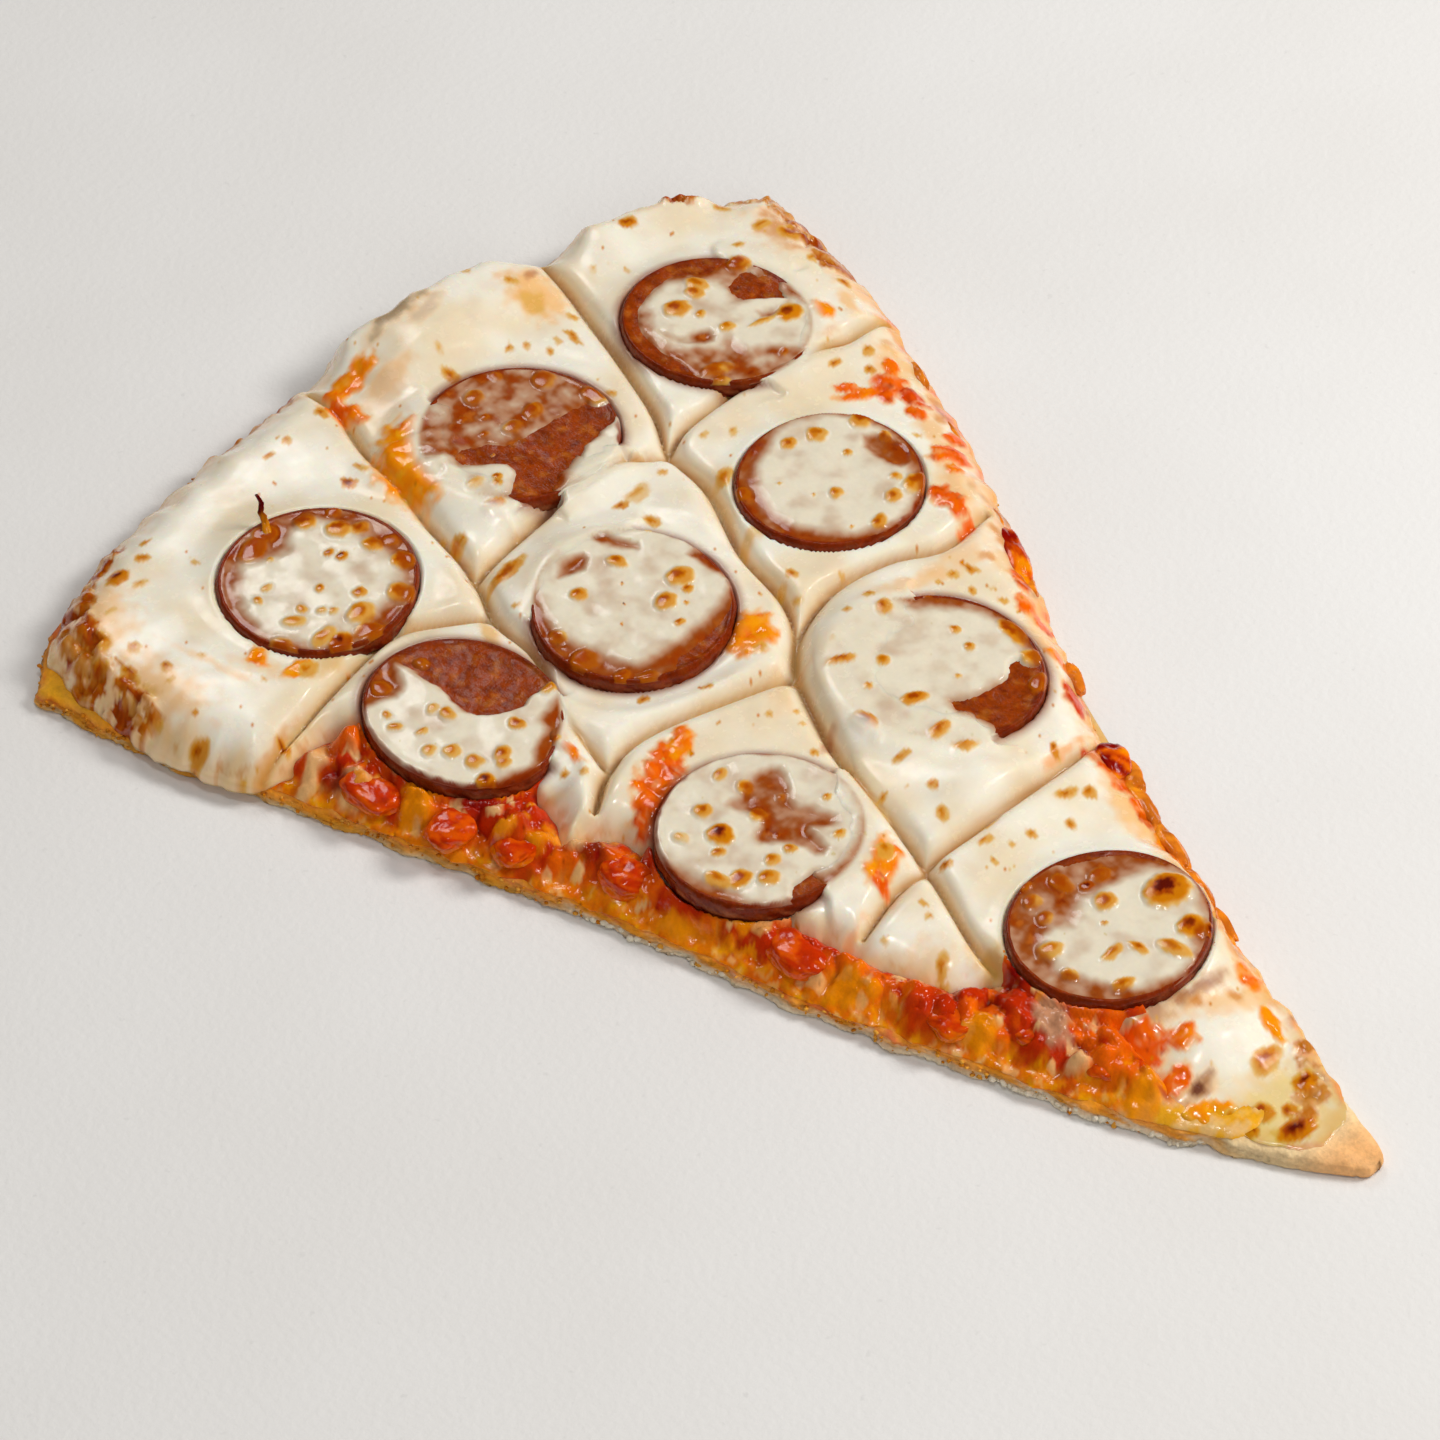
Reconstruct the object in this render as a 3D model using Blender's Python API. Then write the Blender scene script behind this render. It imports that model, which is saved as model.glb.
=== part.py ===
"""A slice of thin-crust pizza, scored into small pieces, with nine rounds of pepperoni.

Sizes are in millimetres and MM turns them into Blender's metres. The slice lies flat on +Z up.
Its tip points to -Y, its baked rim lies at +Y, and the cut side with the bare sauce is at -X.
The origin is on the underside of the crust, halfway between the tip and the rim.

From the board upwards: crust, sauce with tomato pieces in it, cheese, pepperoni, and the cheese
that melted on top of each pepperoni. A gap of GAP keeps neighbours apart.
"""

import math

import bmesh
import bpy
import numpy as np
from mathutils import Matrix, Vector, noise
from mathutils.geometry import delaunay_2d_cdt

MM = 0.001
GAP = 0.3

# The whole pizza that the slice was cut from: its centre lies at the slice's tip.
PIZZA_CENTRE = (0.0, -118.5)
PIZZA_RADIUS = 236.5

# Levels of the flat layers.
CRUST_TOP = 3.0
SAUCE_FLOOR = CRUST_TOP + GAP
SAUCE_TOP = 4.5
CHEESE_FLOOR = SAUCE_FLOOR
CHEESE_OVER_SAUCE = SAUCE_TOP + GAP

# Spacing of the points along the outlines and over the cheese.
OUTLINE_STEP = 5.0
CHEESE_STEP = 6.5
SAUCE_STEP = 4.2

# Each side runs through these points. The right side goes from the tip to the rim and the cut
# side from the rim to the tip. The rim between them is an arc of the pizza's own circle.
CRUST_RIGHT = [(3.5, -106), (12.5, -78), (28.5, -32), (46, 2), (61, 32), (75, 69), (81.5, 101)]
CRUST_CUT = [
    (-86, 94), (-80.5, 73), (-72.5, 51), (-52, -3.5), (-42, -37.5), (-25.3, -81), (-12, -106),
]
CRUST_TIP = [(-2, -118.4)]

SAUCE_RIGHT = [(1, -98), (8, -78), (24, -32), (41, 1), (56, 31), (70, 68), (73, 96)]
SAUCE_CUT = [(-79, 90), (-69.5, 49.5), (-49.8, -4), (-40, -38), (-23.5, -80), (-14, -99)]
SAUCE_TIP = [(-6, -103)]
SAUCE_INSET = 6.0

CHEESE_RIGHT = [(2, -106), (11.5, -78), (27.5, -32), (45, 2), (60, 32), (74, 69), (74.5, 100)]
CHEESE_CUT = [
    (-79, 97), (-80.5, 84), (-77, 67), (-72.5, 54.5), (-65, 52), (-58.5, 50), (-54, 40),
    (-51, 29), (-46.5, 22), (-47.5, 15), (-49.5, 9.5), (-43, 5), (-41.5, -4), (-38, -18),
    (-35, -30), (-32, -41), (-27, -52), (-20, -58), (-16, -66), (-15, -78), (-17, -92), (-11, -105),
]
CHEESE_TIP = [(-4, -109)]
CHEESE_INSET = 0.8

# The scored lines that divide the top, each through a few points.
SEAMS = [
    # Two long lines from the rim towards the cut side.
    [(37.8, 112), (36, 103), (33, 92.5), (26.5, 72), (21.5, 62.5), (20, 51.5), (14, 37),
     (10.5, 22), (1.5, 11), (-4.5, -1.5), (-9, -15.5), (-12, -31), (-18.5, -49.5), (-19.5, -55)],
    [(-12, 114.5), (-12.5, 106), (-16.5, 91.5), (-18.5, 77.5), (-21, 63), (-25.5, 52),
     (-26.5, 41), (-32.5, 29), (-34, 17)],
    # Lines across the slice, which stop and start again at the long ones.
    [(-75, 53), (-63, 56), (-50, 59.5), (-38, 60.5), (-26, 54)],
    [(-21, 62), (-8, 64.5), (10, 65), (21, 62.5)],
    [(21, 62.5), (28, 65), (42, 65.5), (56, 63), (71, 62)],
    [(1, 11), (-10, 14), (-25, 17.3), (-34, 16), (-42, 10.5)],
    [(1.5, 11), (8.5, 17.5), (19, 20.8), (30, 19.3), (38.5, 15.8), (50, 17)],
    [(-12.5, -33), (-20, -33.5), (-29.5, -36.5)],
    [(-12.5, -32.5), (0, -32.5), (15, -32), (26, -31.5)],
]

# How the cheese rises: its height along the slice, the floor of a scored line, the height at
# its edge, and how far from a line or an edge it takes to reach full height.
CROWN_ALONG_Y = [-118, -95, -75, -45, -15, 60, 118]
CROWN_HEIGHTS = [4.6, 5.4, 7.2, 8.8, 9.4, 9.4, 9.0]
SEAM_FLOOR = 5.4
SEAM_SHOULDER = 8.0
EDGE_HEIGHT = 4.3
EDGE_SHOULDER = 10.0
# Places where the cheese puffed up or sank: x, y, radius, height.
SWELLS = [
    (4, -24, 10, 2.2), (8, 106, 12, 1.6), (55, 105, 12, -0.9), (-64, 74, 14, 0.8),
    (12, 46, 7, 1.2), (-14, 20, 8, 0.9), (-52, 104, 12, -0.8), (30, 26, 8, 0.6),
    (60, 45, 12, -1.6), (36, -8, 8, -1.4), (-24, -45, 7, -0.8), (-43, 14, 6, 1.0),
    (17, -44, 8, -1.2), (-4, -88, 8, 1.0), (27, 75, 6, 1.0), (-28, 66, 6, 0.9),
]

PEPPERONI_THICKNESS = 2.8
PEPPERONI_LIP = 0.4
PEPPERONI_SEGMENTS = 22
# Each round: x, y, radius, length over width, underside height, rise towards +X, rise towards +Y.
PEPPERONI = [
    (-2.3, -62.0, 16.0, 1.00, 6.9, 0.020, -0.010),
    (-27.3, -11.4, 16.5, 1.00, 7.0, 0.010, 0.010),
    (17.3, -5.2, 16.9, 1.02, 7.4, -0.030, 0.020),
    (-44.0, 39.0, 16.2, 1.10, 6.9, 0.020, 0.025),
    (-8.8, 38.2, 16.8, 0.98, 7.4, 0.015, 0.030),
    (34.8, 38.2, 15.9, 0.97, 7.2, -0.020, 0.010),
    (-41.5, 77.2, 16.5, 1.04, 7.2, 0.015, 0.020),
    (4.5, 80.5, 16.8, 1.00, 7.6, -0.020, 0.000),
    (47.7, 79.0, 16.2, 1.06, 7.2, -0.020, 0.010),
]

# The cheese on each round, in the order of PEPPERONI: its middle and half sizes as shares of
# the round's radius, how far it is turned in degrees, and its thickness.
MELTED_SEGMENTS = 18
MELTED = [
    (0.04, -0.12, 0.76, 0.66, 10, 1.1),
    (0.00, 0.06, 0.82, 0.78, 0, 1.2),
    (-0.08, 0.10, 0.84, 0.82, 30, 1.6),
    (-0.22, -0.22, 0.82, 0.54, 135, 1.1),
    (0.06, 0.06, 0.84, 0.82, 0, 1.1),
    (0.02, 0.03, 0.84, 0.84, 0, 1.4),
    (0.00, -0.02, 0.82, 0.82, 0, 1.0),
    (-0.02, 0.36, 0.80, 0.48, -12, 1.1),
    (0.05, 0.02, 0.80, 0.76, 15, 1.2),
]

# Tomato pieces in the bare sauce: x, y, length, width, height, turn in degrees.
TOMATOES = [
    (-63.3, 39.5, 10.5, 5.5, 4.2, 108),
    (-59.5, 24.5, 7.5, 6.5, 4.2, 20),
    (-54.8, 15.0, 7.0, 6.0, 3.6, -30),
    (-46.8, -1.2, 7.0, 7.5, 4.6, 0),
    (-38.5, -31.0, 6.5, 9.5, 4.2, 15),
    (-30.0, -56.5, 7.5, 6.0, 3.2, -40),
    (-22.6, -65.5, 6.5, 6.0, 3.4, 10),
    (-18.6, -79.0, 7.0, 5.5, 3.4, -15),
]
TOMATO_SEAT = 3.9

CRUST_LOOK = ((0.72, 0.40, 0.13), 0.60)
SAUCE_LOOK = ((0.52, 0.08, 0.010), 0.30)
CHEESE_LOOK = ((0.80, 0.74, 0.60), 0.35)
PEPPERONI_LOOK = ((0.29, 0.085, 0.035), 0.40)
TOMATO_LOOK = ((0.50, 0.045, 0.008), 0.25)


# ---------------------------------------------------------------- plane geometry


def spline(points, step):
    """Points about step apart on a smooth curve through the given ones."""
    given = np.array(points, float)
    before = 2 * given[0] - given[1]
    after = 2 * given[-1] - given[-2]
    knots = np.vstack([before, given, after])
    dense = []
    for p0, p1, p2, p3 in zip(knots, knots[1:], knots[2:], knots[3:]):
        t = np.linspace(0, 1, 24, endpoint=False)[:, None]
        bend = 2 * p0 - 5 * p1 + 4 * p2 - p3
        twist = 3 * p1 - p0 - 3 * p2 + p3
        dense.append(0.5 * (2 * p1 + (p2 - p0) * t + bend * t**2 + twist * t**3))
    dense = np.vstack([*dense, given[-1:]])
    run = np.concatenate([[0], np.cumsum(np.linalg.norm(np.diff(dense, axis=0), axis=1))])
    wanted = np.linspace(0, run[-1], max(2, round(run[-1] / step) + 1))
    return np.column_stack([np.interp(wanted, run, dense[:, k]) for k in (0, 1)])


def rim_arc(start, end, radius, step):
    """Points on the pizza's circle from above start to above end, without the two ends."""
    angles = [math.atan2(p[0] - PIZZA_CENTRE[0], p[1] - PIZZA_CENTRE[1]) for p in (start, end)]
    count = round(abs(angles[1] - angles[0]) * radius / step)
    turn = np.linspace(angles[0], angles[1], count + 1)
    # The corners are a little short of the circle, so the arc leaves them gradually.
    share = np.linspace(-1, 1, count + 1)
    corner = np.interp(share, [-1, 1], [reach(start), reach(end)])
    reached = corner + (radius - corner) * (1 - share**6)
    arc = np.column_stack([np.sin(turn), np.cos(turn)]) * reached[:, None] + PIZZA_CENTRE
    return arc[1:-1]


def reach(point):
    return math.dist(point, PIZZA_CENTRE)


def wedge(right, cut, tip, radius, step):
    """The closed outline of one layer, anticlockwise from its tip."""
    sides = spline(tip + right, step)
    rim = rim_arc(right[-1], cut[0], radius, step)
    back = spline(cut + tip, step)
    return np.vstack([sides, rim, back[:-1]])


def normals_of(outline):
    """The outward direction at each point of an anticlockwise outline."""
    along = np.roll(outline, -1, axis=0) - np.roll(outline, 1, axis=0)
    along /= np.linalg.norm(along, axis=1)[:, None]
    return np.column_stack([along[:, 1], -along[:, 0]])


def inset(outline, distance):
    return outline - normals_of(outline) * np.reshape(distance, (-1, 1))


def ragged(outline, amount, seed):
    """The outline with its points pushed in and out, as a torn or baked edge is."""
    push = [noise.noise(Vector((x * 0.21, y * 0.21, seed))) for x, y in outline]
    return inset(outline, amount * np.array(push))


def distance_to(points, line, closed=False):
    """How far each point is from a line of points."""
    points, line = np.asarray(points, float), np.asarray(line, float)
    ends = np.roll(line, -1, axis=0) if closed else line[1:]
    starts = line if closed else line[:-1]
    along = ends - starts
    offset = points[:, None] - starts[None]
    share = (offset * along).sum(-1) / (along**2).sum(-1)
    nearest = offset - np.clip(share, 0, 1)[..., None] * along
    return np.sqrt((nearest**2).sum(-1)).min(axis=1)


def inside(points, outline):
    """True for each point that lies within a closed outline."""
    x, y = np.asarray(points, float).T
    hit = np.zeros(len(x), bool)
    for (x0, y0), (x1, y1) in zip(outline, np.roll(outline, -1, axis=0)):
        crosses = (y0 > y) != (y1 > y)
        hit ^= crosses & (x < (x1 - x0) * (y - y0) / ((y1 - y0) or 1.0) + x0)
    return hit


def clear_part(line, outline):
    """The points of a line that lie inside an outline and not right beside it."""
    return line[inside(line, outline) & (distance_to(line, outline, closed=True) > 1.2)]


def hexagonal_grid(outline, step):
    """Points of an even grid inside an outline, with room left along it."""
    low, high = outline.min(0), outline.max(0)
    rows = np.arange(low[1], high[1], step * math.sin(math.pi / 3))
    grid = [
        (x, y)
        for i, y in enumerate(rows)
        for x in np.arange(low[0] + (i % 2) * step / 2, high[0], step)
    ]
    grid = np.array(grid)
    clear = distance_to(grid, outline, closed=True) > step * 0.55
    return grid[inside(grid, outline) & clear]


# ---------------------------------------------------------------- heights


def shoulder(share):
    """0 at a line or an edge, rising steeply and then levelling off at 1."""
    return 1 - (1 - np.clip(share, 0, 1)) ** 2.4


def cheese_height(points, outline, seams):
    """The top of the cheese: pillows between the scored lines, sloping off at the edge."""
    x, y = points.T
    crown = np.interp(y, CROWN_ALONG_Y, CROWN_HEIGHTS)
    for sx, sy, radius, rise in SWELLS:
        crown = crown + rise * np.exp(-((x - sx) ** 2 + (y - sy) ** 2) / radius**2)
    crown += [0.5 * noise.noise(Vector((px * 0.06, py * 0.06, 3.0))) for px, py in points]
    to_seam = np.min([distance_to(points, seam) for seam in seams], axis=0)
    to_edge = distance_to(points, outline, closed=True)
    to_edge = np.where(inside(points, outline), to_edge, 0)
    floor = np.minimum(SEAM_FLOOR, crown - 1)
    pillow = floor + (crown - floor) * shoulder(to_seam / SEAM_SHOULDER)
    slope = EDGE_HEIGHT + (crown - EDGE_HEIGHT) * shoulder(to_edge / EDGE_SHOULDER)
    return np.minimum(pillow, slope)


def sauce_height(points, cheese_outline):
    """Flat under the cheese and lumpy where the cut side leaves the sauce bare."""
    bare = np.where(inside(points, cheese_outline), 0, distance_to(points, cheese_outline, True))
    for x, y, radius, *_ in PEPPERONI:
        bare = np.minimum(bare, np.hypot(points[:, 0] - x, points[:, 1] - y) - radius)
    lumps = [1.0 + 1.1 * noise.noise(Vector((x * 0.28, y * 0.28, 9.0))) for x, y in points]
    return SAUCE_TOP + np.array(lumps) * np.clip((bare - 1.5 * GAP) / 3, 0, 1)


# ---------------------------------------------------------------- objects


def clear_scene():
    for obj in list(bpy.data.objects):
        bpy.data.objects.remove(obj, do_unlink=True)


def material(name, look):
    colour, roughness = look
    made = bpy.data.materials.new(name)
    made.use_nodes = True
    shader = made.node_tree.nodes["Principled BSDF"]
    shader.inputs["Base Color"].default_value = (*colour, 1.0)
    shader.inputs["Roughness"].default_value = roughness
    shader.inputs["Metallic"].default_value = 0.0
    made.diffuse_color = (*colour, 1.0)
    return made


def add_object(name, points, faces, look=None):
    """A mesh object from points in millimetres. Without a material it is a hidden cutter."""
    mesh = bpy.data.meshes.new(name)
    mesh.from_pydata([Vector(p) * MM for p in points], [], [list(f) for f in faces])
    shape = bmesh.new()
    shape.from_mesh(mesh)
    bmesh.ops.recalc_face_normals(shape, faces=shape.faces)
    shape.to_mesh(mesh)
    shape.free()
    obj = bpy.data.objects.new(name, mesh)
    bpy.context.scene.collection.objects.link(obj)
    if look is None:
        obj.hide_render = True
        obj.display_type = "WIRE"
    else:
        mesh.materials.append(look)
        mesh.shade_smooth()
        mesh.set_sharp_from_angle(angle=math.radians(45))
    return obj


def stacked(rings):
    """Points and faces of a closed solid through rings of equal count, from bottom to top."""
    count = len(rings[0])
    points = np.vstack(rings)
    faces = [tuple(range(count))[::-1]]
    for level in range(len(rings) - 1):
        low, high = level * count, (level + 1) * count
        for i in range(count):
            j = (i + 1) % count
            faces.append((low + i, low + j, high + j, high + i))
    faces.append(tuple(range((len(rings) - 1) * count, len(rings) * count)))
    return points, faces


def at_height(outline, z):
    return np.column_stack([outline, np.broadcast_to(z, len(outline))])


def relief(name, outline, inner, lines, top, floor, look):
    """A solid with a flat underside at floor and its upper side at the height top(points)."""
    points = [*outline, *inner]
    edges = [(i, (i + 1) % len(outline)) for i in range(len(outline))]
    for line in lines:
        first = len(points)
        points.extend(line)
        edges.extend((i, i + 1) for i in range(first, first + len(line) - 1))
    flat, _, triangles, *_ = delaunay_2d_cdt([Vector(p) for p in points], edges, [], 1, 1e-5)
    flat = np.array([tuple(p) for p in flat])
    rim = [int(np.argmin(((flat - p) ** 2).sum(1))) for p in outline]
    upper = at_height(flat, top(flat))
    lower = at_height(flat[rim], floor)
    base = len(upper)
    faces = [tuple(t) for t in triangles]
    for i, start in enumerate(rim):
        j = (i + 1) % len(rim)
        faces.append((start, base + i, base + j, rim[j]))
    faces.append(tuple(range(base, base + len(rim)))[::-1])
    return add_object(name, np.vstack([upper, lower]), faces, look)


def cut_away(obj, cutters):
    for cutter in cutters:
        cut = obj.modifiers.new(cutter.name, "BOOLEAN")
        cut.operation = "DIFFERENCE"
        cut.solver = "EXACT"
        cut.object = cutter


# ---------------------------------------------------------------- the layers


def make_crust(look):
    """Thin dough with a flat underside, its edge torn by the cut and rounded by the oven."""
    outline = ragged(wedge(CRUST_RIGHT, CRUST_CUT, CRUST_TIP, PIZZA_RADIUS, OUTLINE_STEP), 0.9, 1.0)
    sections = [(0.0, 0.8), (0.9, 0.0), (CRUST_TOP - 0.8, 0.1), (CRUST_TOP, 0.9)]
    rings = [at_height(inset(outline, back), z) for z, back in sections]
    add_object("crust", *stacked(rings), look)


def make_sauce(look, cheese_outline, cutters):
    outline = wedge(SAUCE_RIGHT, SAUCE_CUT, SAUCE_TIP, PIZZA_RADIUS - SAUCE_INSET, OUTLINE_STEP)
    grid = hexagonal_grid(outline, SAUCE_STEP)
    to_cheese = distance_to(grid, cheese_outline, closed=True)
    bare = grid[~inside(grid, cheese_outline) & (to_cheese > 1.5)]
    meeting = clear_part(inset(cheese_outline, -GAP), outline)
    sauce = relief(
        "sauce", outline, bare, [meeting],
        lambda points: sauce_height(points, cheese_outline), SAUCE_FLOOR, look,
    )
    cut_away(sauce, cutters)
    grown = inset(outline, -GAP)
    rings = [at_height(grown, z) for z in (CHEESE_FLOOR - 1, CHEESE_OVER_SAUCE)]
    return add_object("sauce_room", *stacked(rings))


def make_cheese(look, outline, cutters):
    seams = [clear_part(spline(points, OUTLINE_STEP), outline) for points in SEAMS]
    grid = hexagonal_grid(outline, CHEESE_STEP)
    beside = []
    for seam in seams:
        across = normals_of(np.vstack([seam, seam[::-1]]))[: len(seam)]
        beside += [seam + across * side for side in (-4.0, -1.6, 1.6, 4.0)]
    beside += [inset(outline, back) for back in (1.5, 4.5)]
    beside = np.vstack(beside)
    to_seam = np.min([distance_to(beside, seam) for seam in seams], axis=0)
    to_edge = distance_to(beside, outline, closed=True)
    beside = beside[inside(beside, outline) & (to_seam > 1.4) & (to_edge > 1.3)]
    apart = np.linalg.norm(grid[:, None] - beside[None], axis=2).min(axis=1)
    to_seam = np.min([distance_to(grid, seam) for seam in seams], axis=0)
    grid = grid[(apart > CHEESE_STEP * 0.5) & (to_seam > 2)]
    cheese = relief(
        "cheese", outline, [*grid, *beside], seams,
        lambda points: cheese_height(points, outline, seams), CHEESE_FLOOR, look,
    )
    cut_away(cheese, cutters)


def round_outline(index, grow=0.0):
    """The edge of one pepperoni about its own middle: a circle, a little uneven."""
    _, _, radius, stretch, *_ = PEPPERONI[index]
    turn = np.linspace(0, 2 * math.pi, PEPPERONI_SEGMENTS, endpoint=False)
    uneven = 1 + 0.012 * np.cos(2 * turn + index) + 0.008 * np.cos(3 * turn + 2.1 * index)
    reached = (radius * uneven + grow)[:, None]
    wide, long = 1 / math.sqrt(stretch), math.sqrt(stretch)
    return np.column_stack([np.cos(turn) * wide, np.sin(turn) * long]) * reached


def placed(index, rings):
    """Rings about a pepperoni's own middle, tilted and moved to where it lies."""
    x, y, _, _, z, rise_x, rise_y = PEPPERONI[index]
    done = []
    for ring in rings:
        lift = z + ring[:, 0] * rise_x + ring[:, 1] * rise_y
        done.append(ring + np.column_stack([np.full_like(lift, x), np.full_like(lift, y), lift]))
    return done


def make_pepperoni(index, look):
    """A slice of sausage with a soft edge and a lip that curled up in the oven."""
    edge = round_outline(index)
    top = PEPPERONI_THICKNESS
    sections = [(0.0, 0.95), (0.7, 1.0), (top - 0.2, 1.0), (top + PEPPERONI_LIP, 0.955), (top, 0.88)]
    rings = [at_height(edge * share, z) for z, share in sections]
    add_object(f"pepperoni_{index + 1}", *stacked(placed(index, rings)), look)
    wide = round_outline(index, grow=GAP)
    room = [at_height(wide, z) for z in (-GAP, top + 8)]
    return add_object(f"pepperoni_room_{index + 1}", *stacked(placed(index, room)))


def make_melted(index, look):
    """Cheese that melted on top of one pepperoni: a thin cap with a soft edge."""
    radius = PEPPERONI[index][2]
    middle_x, middle_y, half_x, half_y, degrees, thickness = MELTED[index]
    turn = np.linspace(0, 2 * math.pi, MELTED_SEGMENTS, endpoint=False)
    uneven = 1 + 0.05 * np.cos(3 * turn + index) + 0.03 * np.cos(5 * turn + 1.7 * index)
    ellipse = np.column_stack([np.cos(turn) * half_x, np.sin(turn) * half_y]) * uneven[:, None]
    tilt = math.radians(degrees)
    turned = np.array([[math.cos(tilt), -math.sin(tilt)], [math.sin(tilt), math.cos(tilt)]])
    edge = ellipse @ turned.T * radius
    base = PEPPERONI_THICKNESS + GAP
    sections = [(0.0, 1.0), (0.6 * thickness, 0.96), (thickness, 0.7)]
    middle = np.array([middle_x, middle_y]) * radius
    rings = [at_height(edge * share + middle, base + z) for z, share in sections]
    # No part of the cap passes the flat of the round, which ends where the lip starts.
    for ring in rings:
        out = np.hypot(ring[:, 0], ring[:, 1]) / (radius * 0.84)
        ring[:, :2] /= np.maximum(out, 1)[:, None]
    add_object(f"melted_cheese_{index + 1}", *stacked(placed(index, rings)), look)


def make_tomato(index, look):
    """A lump of cooked tomato. Its twin, grown by the gap, makes room for it."""
    x, y, length, width, height, degrees = TOMATOES[index]
    made = []
    for name, coat, paint in (("tomato", 0.0, look), ("tomato_room", GAP, None)):
        shape = bmesh.new()
        bmesh.ops.create_icosphere(shape, subdivisions=2, radius=1.0)
        for vertex in shape.verts:
            dent = 1 + 0.16 * noise.noise(vertex.co * 1.3 + Vector((index * 7.0, 0, 0)))
            vertex.co *= dent
            vertex.co.z = max(vertex.co.z, -0.75)
        half = [length / 2 + coat, width / 2 + coat, height / 2 + coat]
        bmesh.ops.scale(shape, vec=half, verts=shape.verts)
        place = Matrix.Translation((x, y, TOMATO_SEAT + height * 0.375))
        turned = Matrix.Rotation(math.radians(degrees), 4, "Z")
        bmesh.ops.transform(shape, matrix=place @ turned, verts=shape.verts)
        points = [tuple(v.co) for v in shape.verts]
        faces = [[v.index for v in f.verts] for f in shape.faces]
        shape.free()
        made.append(add_object(f"{name}_{index + 1}", points, faces, paint))
    return made[1]


def main():
    clear_scene()
    cheese_look = material("cheese", CHEESE_LOOK)
    pepperoni_look = material("pepperoni", PEPPERONI_LOOK)
    tomato_look = material("tomato", TOMATO_LOOK)
    cheese_outline = wedge(
        CHEESE_RIGHT, CHEESE_CUT, CHEESE_TIP, PIZZA_RADIUS - CHEESE_INSET, OUTLINE_STEP
    )
    make_crust(material("crust", CRUST_LOOK))
    tomato_rooms = [make_tomato(i, tomato_look) for i in range(len(TOMATOES))]
    pepperoni_rooms = [make_pepperoni(i, pepperoni_look) for i in range(len(PEPPERONI))]
    sauce_room = make_sauce(material("sauce", SAUCE_LOOK), cheese_outline, tomato_rooms)
    make_cheese(cheese_look, cheese_outline, [sauce_room, *tomato_rooms, *pepperoni_rooms])
    for index in range(len(MELTED)):
        make_melted(index, cheese_look)


main()
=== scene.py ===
import math

import bpy
import numpy as np
from mathutils import Matrix, Vector, noise


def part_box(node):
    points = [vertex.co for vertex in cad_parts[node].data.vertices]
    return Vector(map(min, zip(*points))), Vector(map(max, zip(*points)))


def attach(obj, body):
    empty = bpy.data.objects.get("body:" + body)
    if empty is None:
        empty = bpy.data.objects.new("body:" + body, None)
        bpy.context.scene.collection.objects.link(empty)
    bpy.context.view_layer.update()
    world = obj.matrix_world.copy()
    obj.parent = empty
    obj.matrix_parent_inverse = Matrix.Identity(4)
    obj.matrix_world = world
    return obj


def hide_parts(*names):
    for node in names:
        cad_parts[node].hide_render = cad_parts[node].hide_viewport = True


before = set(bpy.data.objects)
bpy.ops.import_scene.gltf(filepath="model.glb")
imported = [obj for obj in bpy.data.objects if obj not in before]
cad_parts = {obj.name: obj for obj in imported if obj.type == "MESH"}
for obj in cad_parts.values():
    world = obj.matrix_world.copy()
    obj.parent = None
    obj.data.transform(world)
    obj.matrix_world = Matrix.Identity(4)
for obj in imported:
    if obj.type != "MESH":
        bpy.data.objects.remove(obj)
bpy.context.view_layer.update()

# Everything below is worked out in millimetres in the row frame and turned into metres when a
# mesh is made. The slice lies with its tip at -Y and its rim at +Y.
MM = 0.001
PIZZA_CENTRE = np.array([0.0, -118.5])
PIZZA_RADIUS = 236.5

# ---------------------------------------------------------------- outlines, as in the solids

CRUST_RIGHT = [(3.5, -106), (12.5, -78), (28.5, -32), (46, 2), (61, 32), (75, 69), (81.5, 101)]
CRUST_CUT = [
    (-86, 94), (-80.5, 73), (-72.5, 51), (-52, -3.5), (-42, -37.5), (-25.3, -81), (-12, -106),
]
CRUST_TIP = [(-5.0, -116.6), (-2, -118.2), (0.6, -116.0)]
SAUCE_RIGHT = [(1, -98), (8, -78), (24, -32), (41, 1), (56, 31), (70, 68), (73, 96)]
SAUCE_CUT = [(-80, 90), (-71, 49), (-51.2, -4.3), (-41.3, -38.3), (-24.6, -80.4), (-15, -99.3)]
SAUCE_TIP = [(-6, -103)]
SAUCE_INSET = 6.0
CHEESE_RIGHT = [(3, -106), (12, -78), (28, -32), (45.5, 2), (60.5, 32), (74.5, 69), (80, 100)]
CHEESE_CUT = [
    (-80.5, 97), (-82.3, 88), (-81.4, 79), (-79.4, 66), (-74.2, 53.4), (-65, 52), (-58.5, 50), (-54, 40),
    (-51, 29), (-46.5, 22), (-47.5, 15), (-49.5, 9.5), (-43, 5), (-41.5, -4), (-38, -18),
    (-35, -30), (-32, -41), (-27, -52), (-20, -58), (-16, -66), (-15, -78), (-17, -92), (-11, -105),
]
CHEESE_TIP = [(-6, -110.5)]
CHEESE_INSET = 0.8
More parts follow.
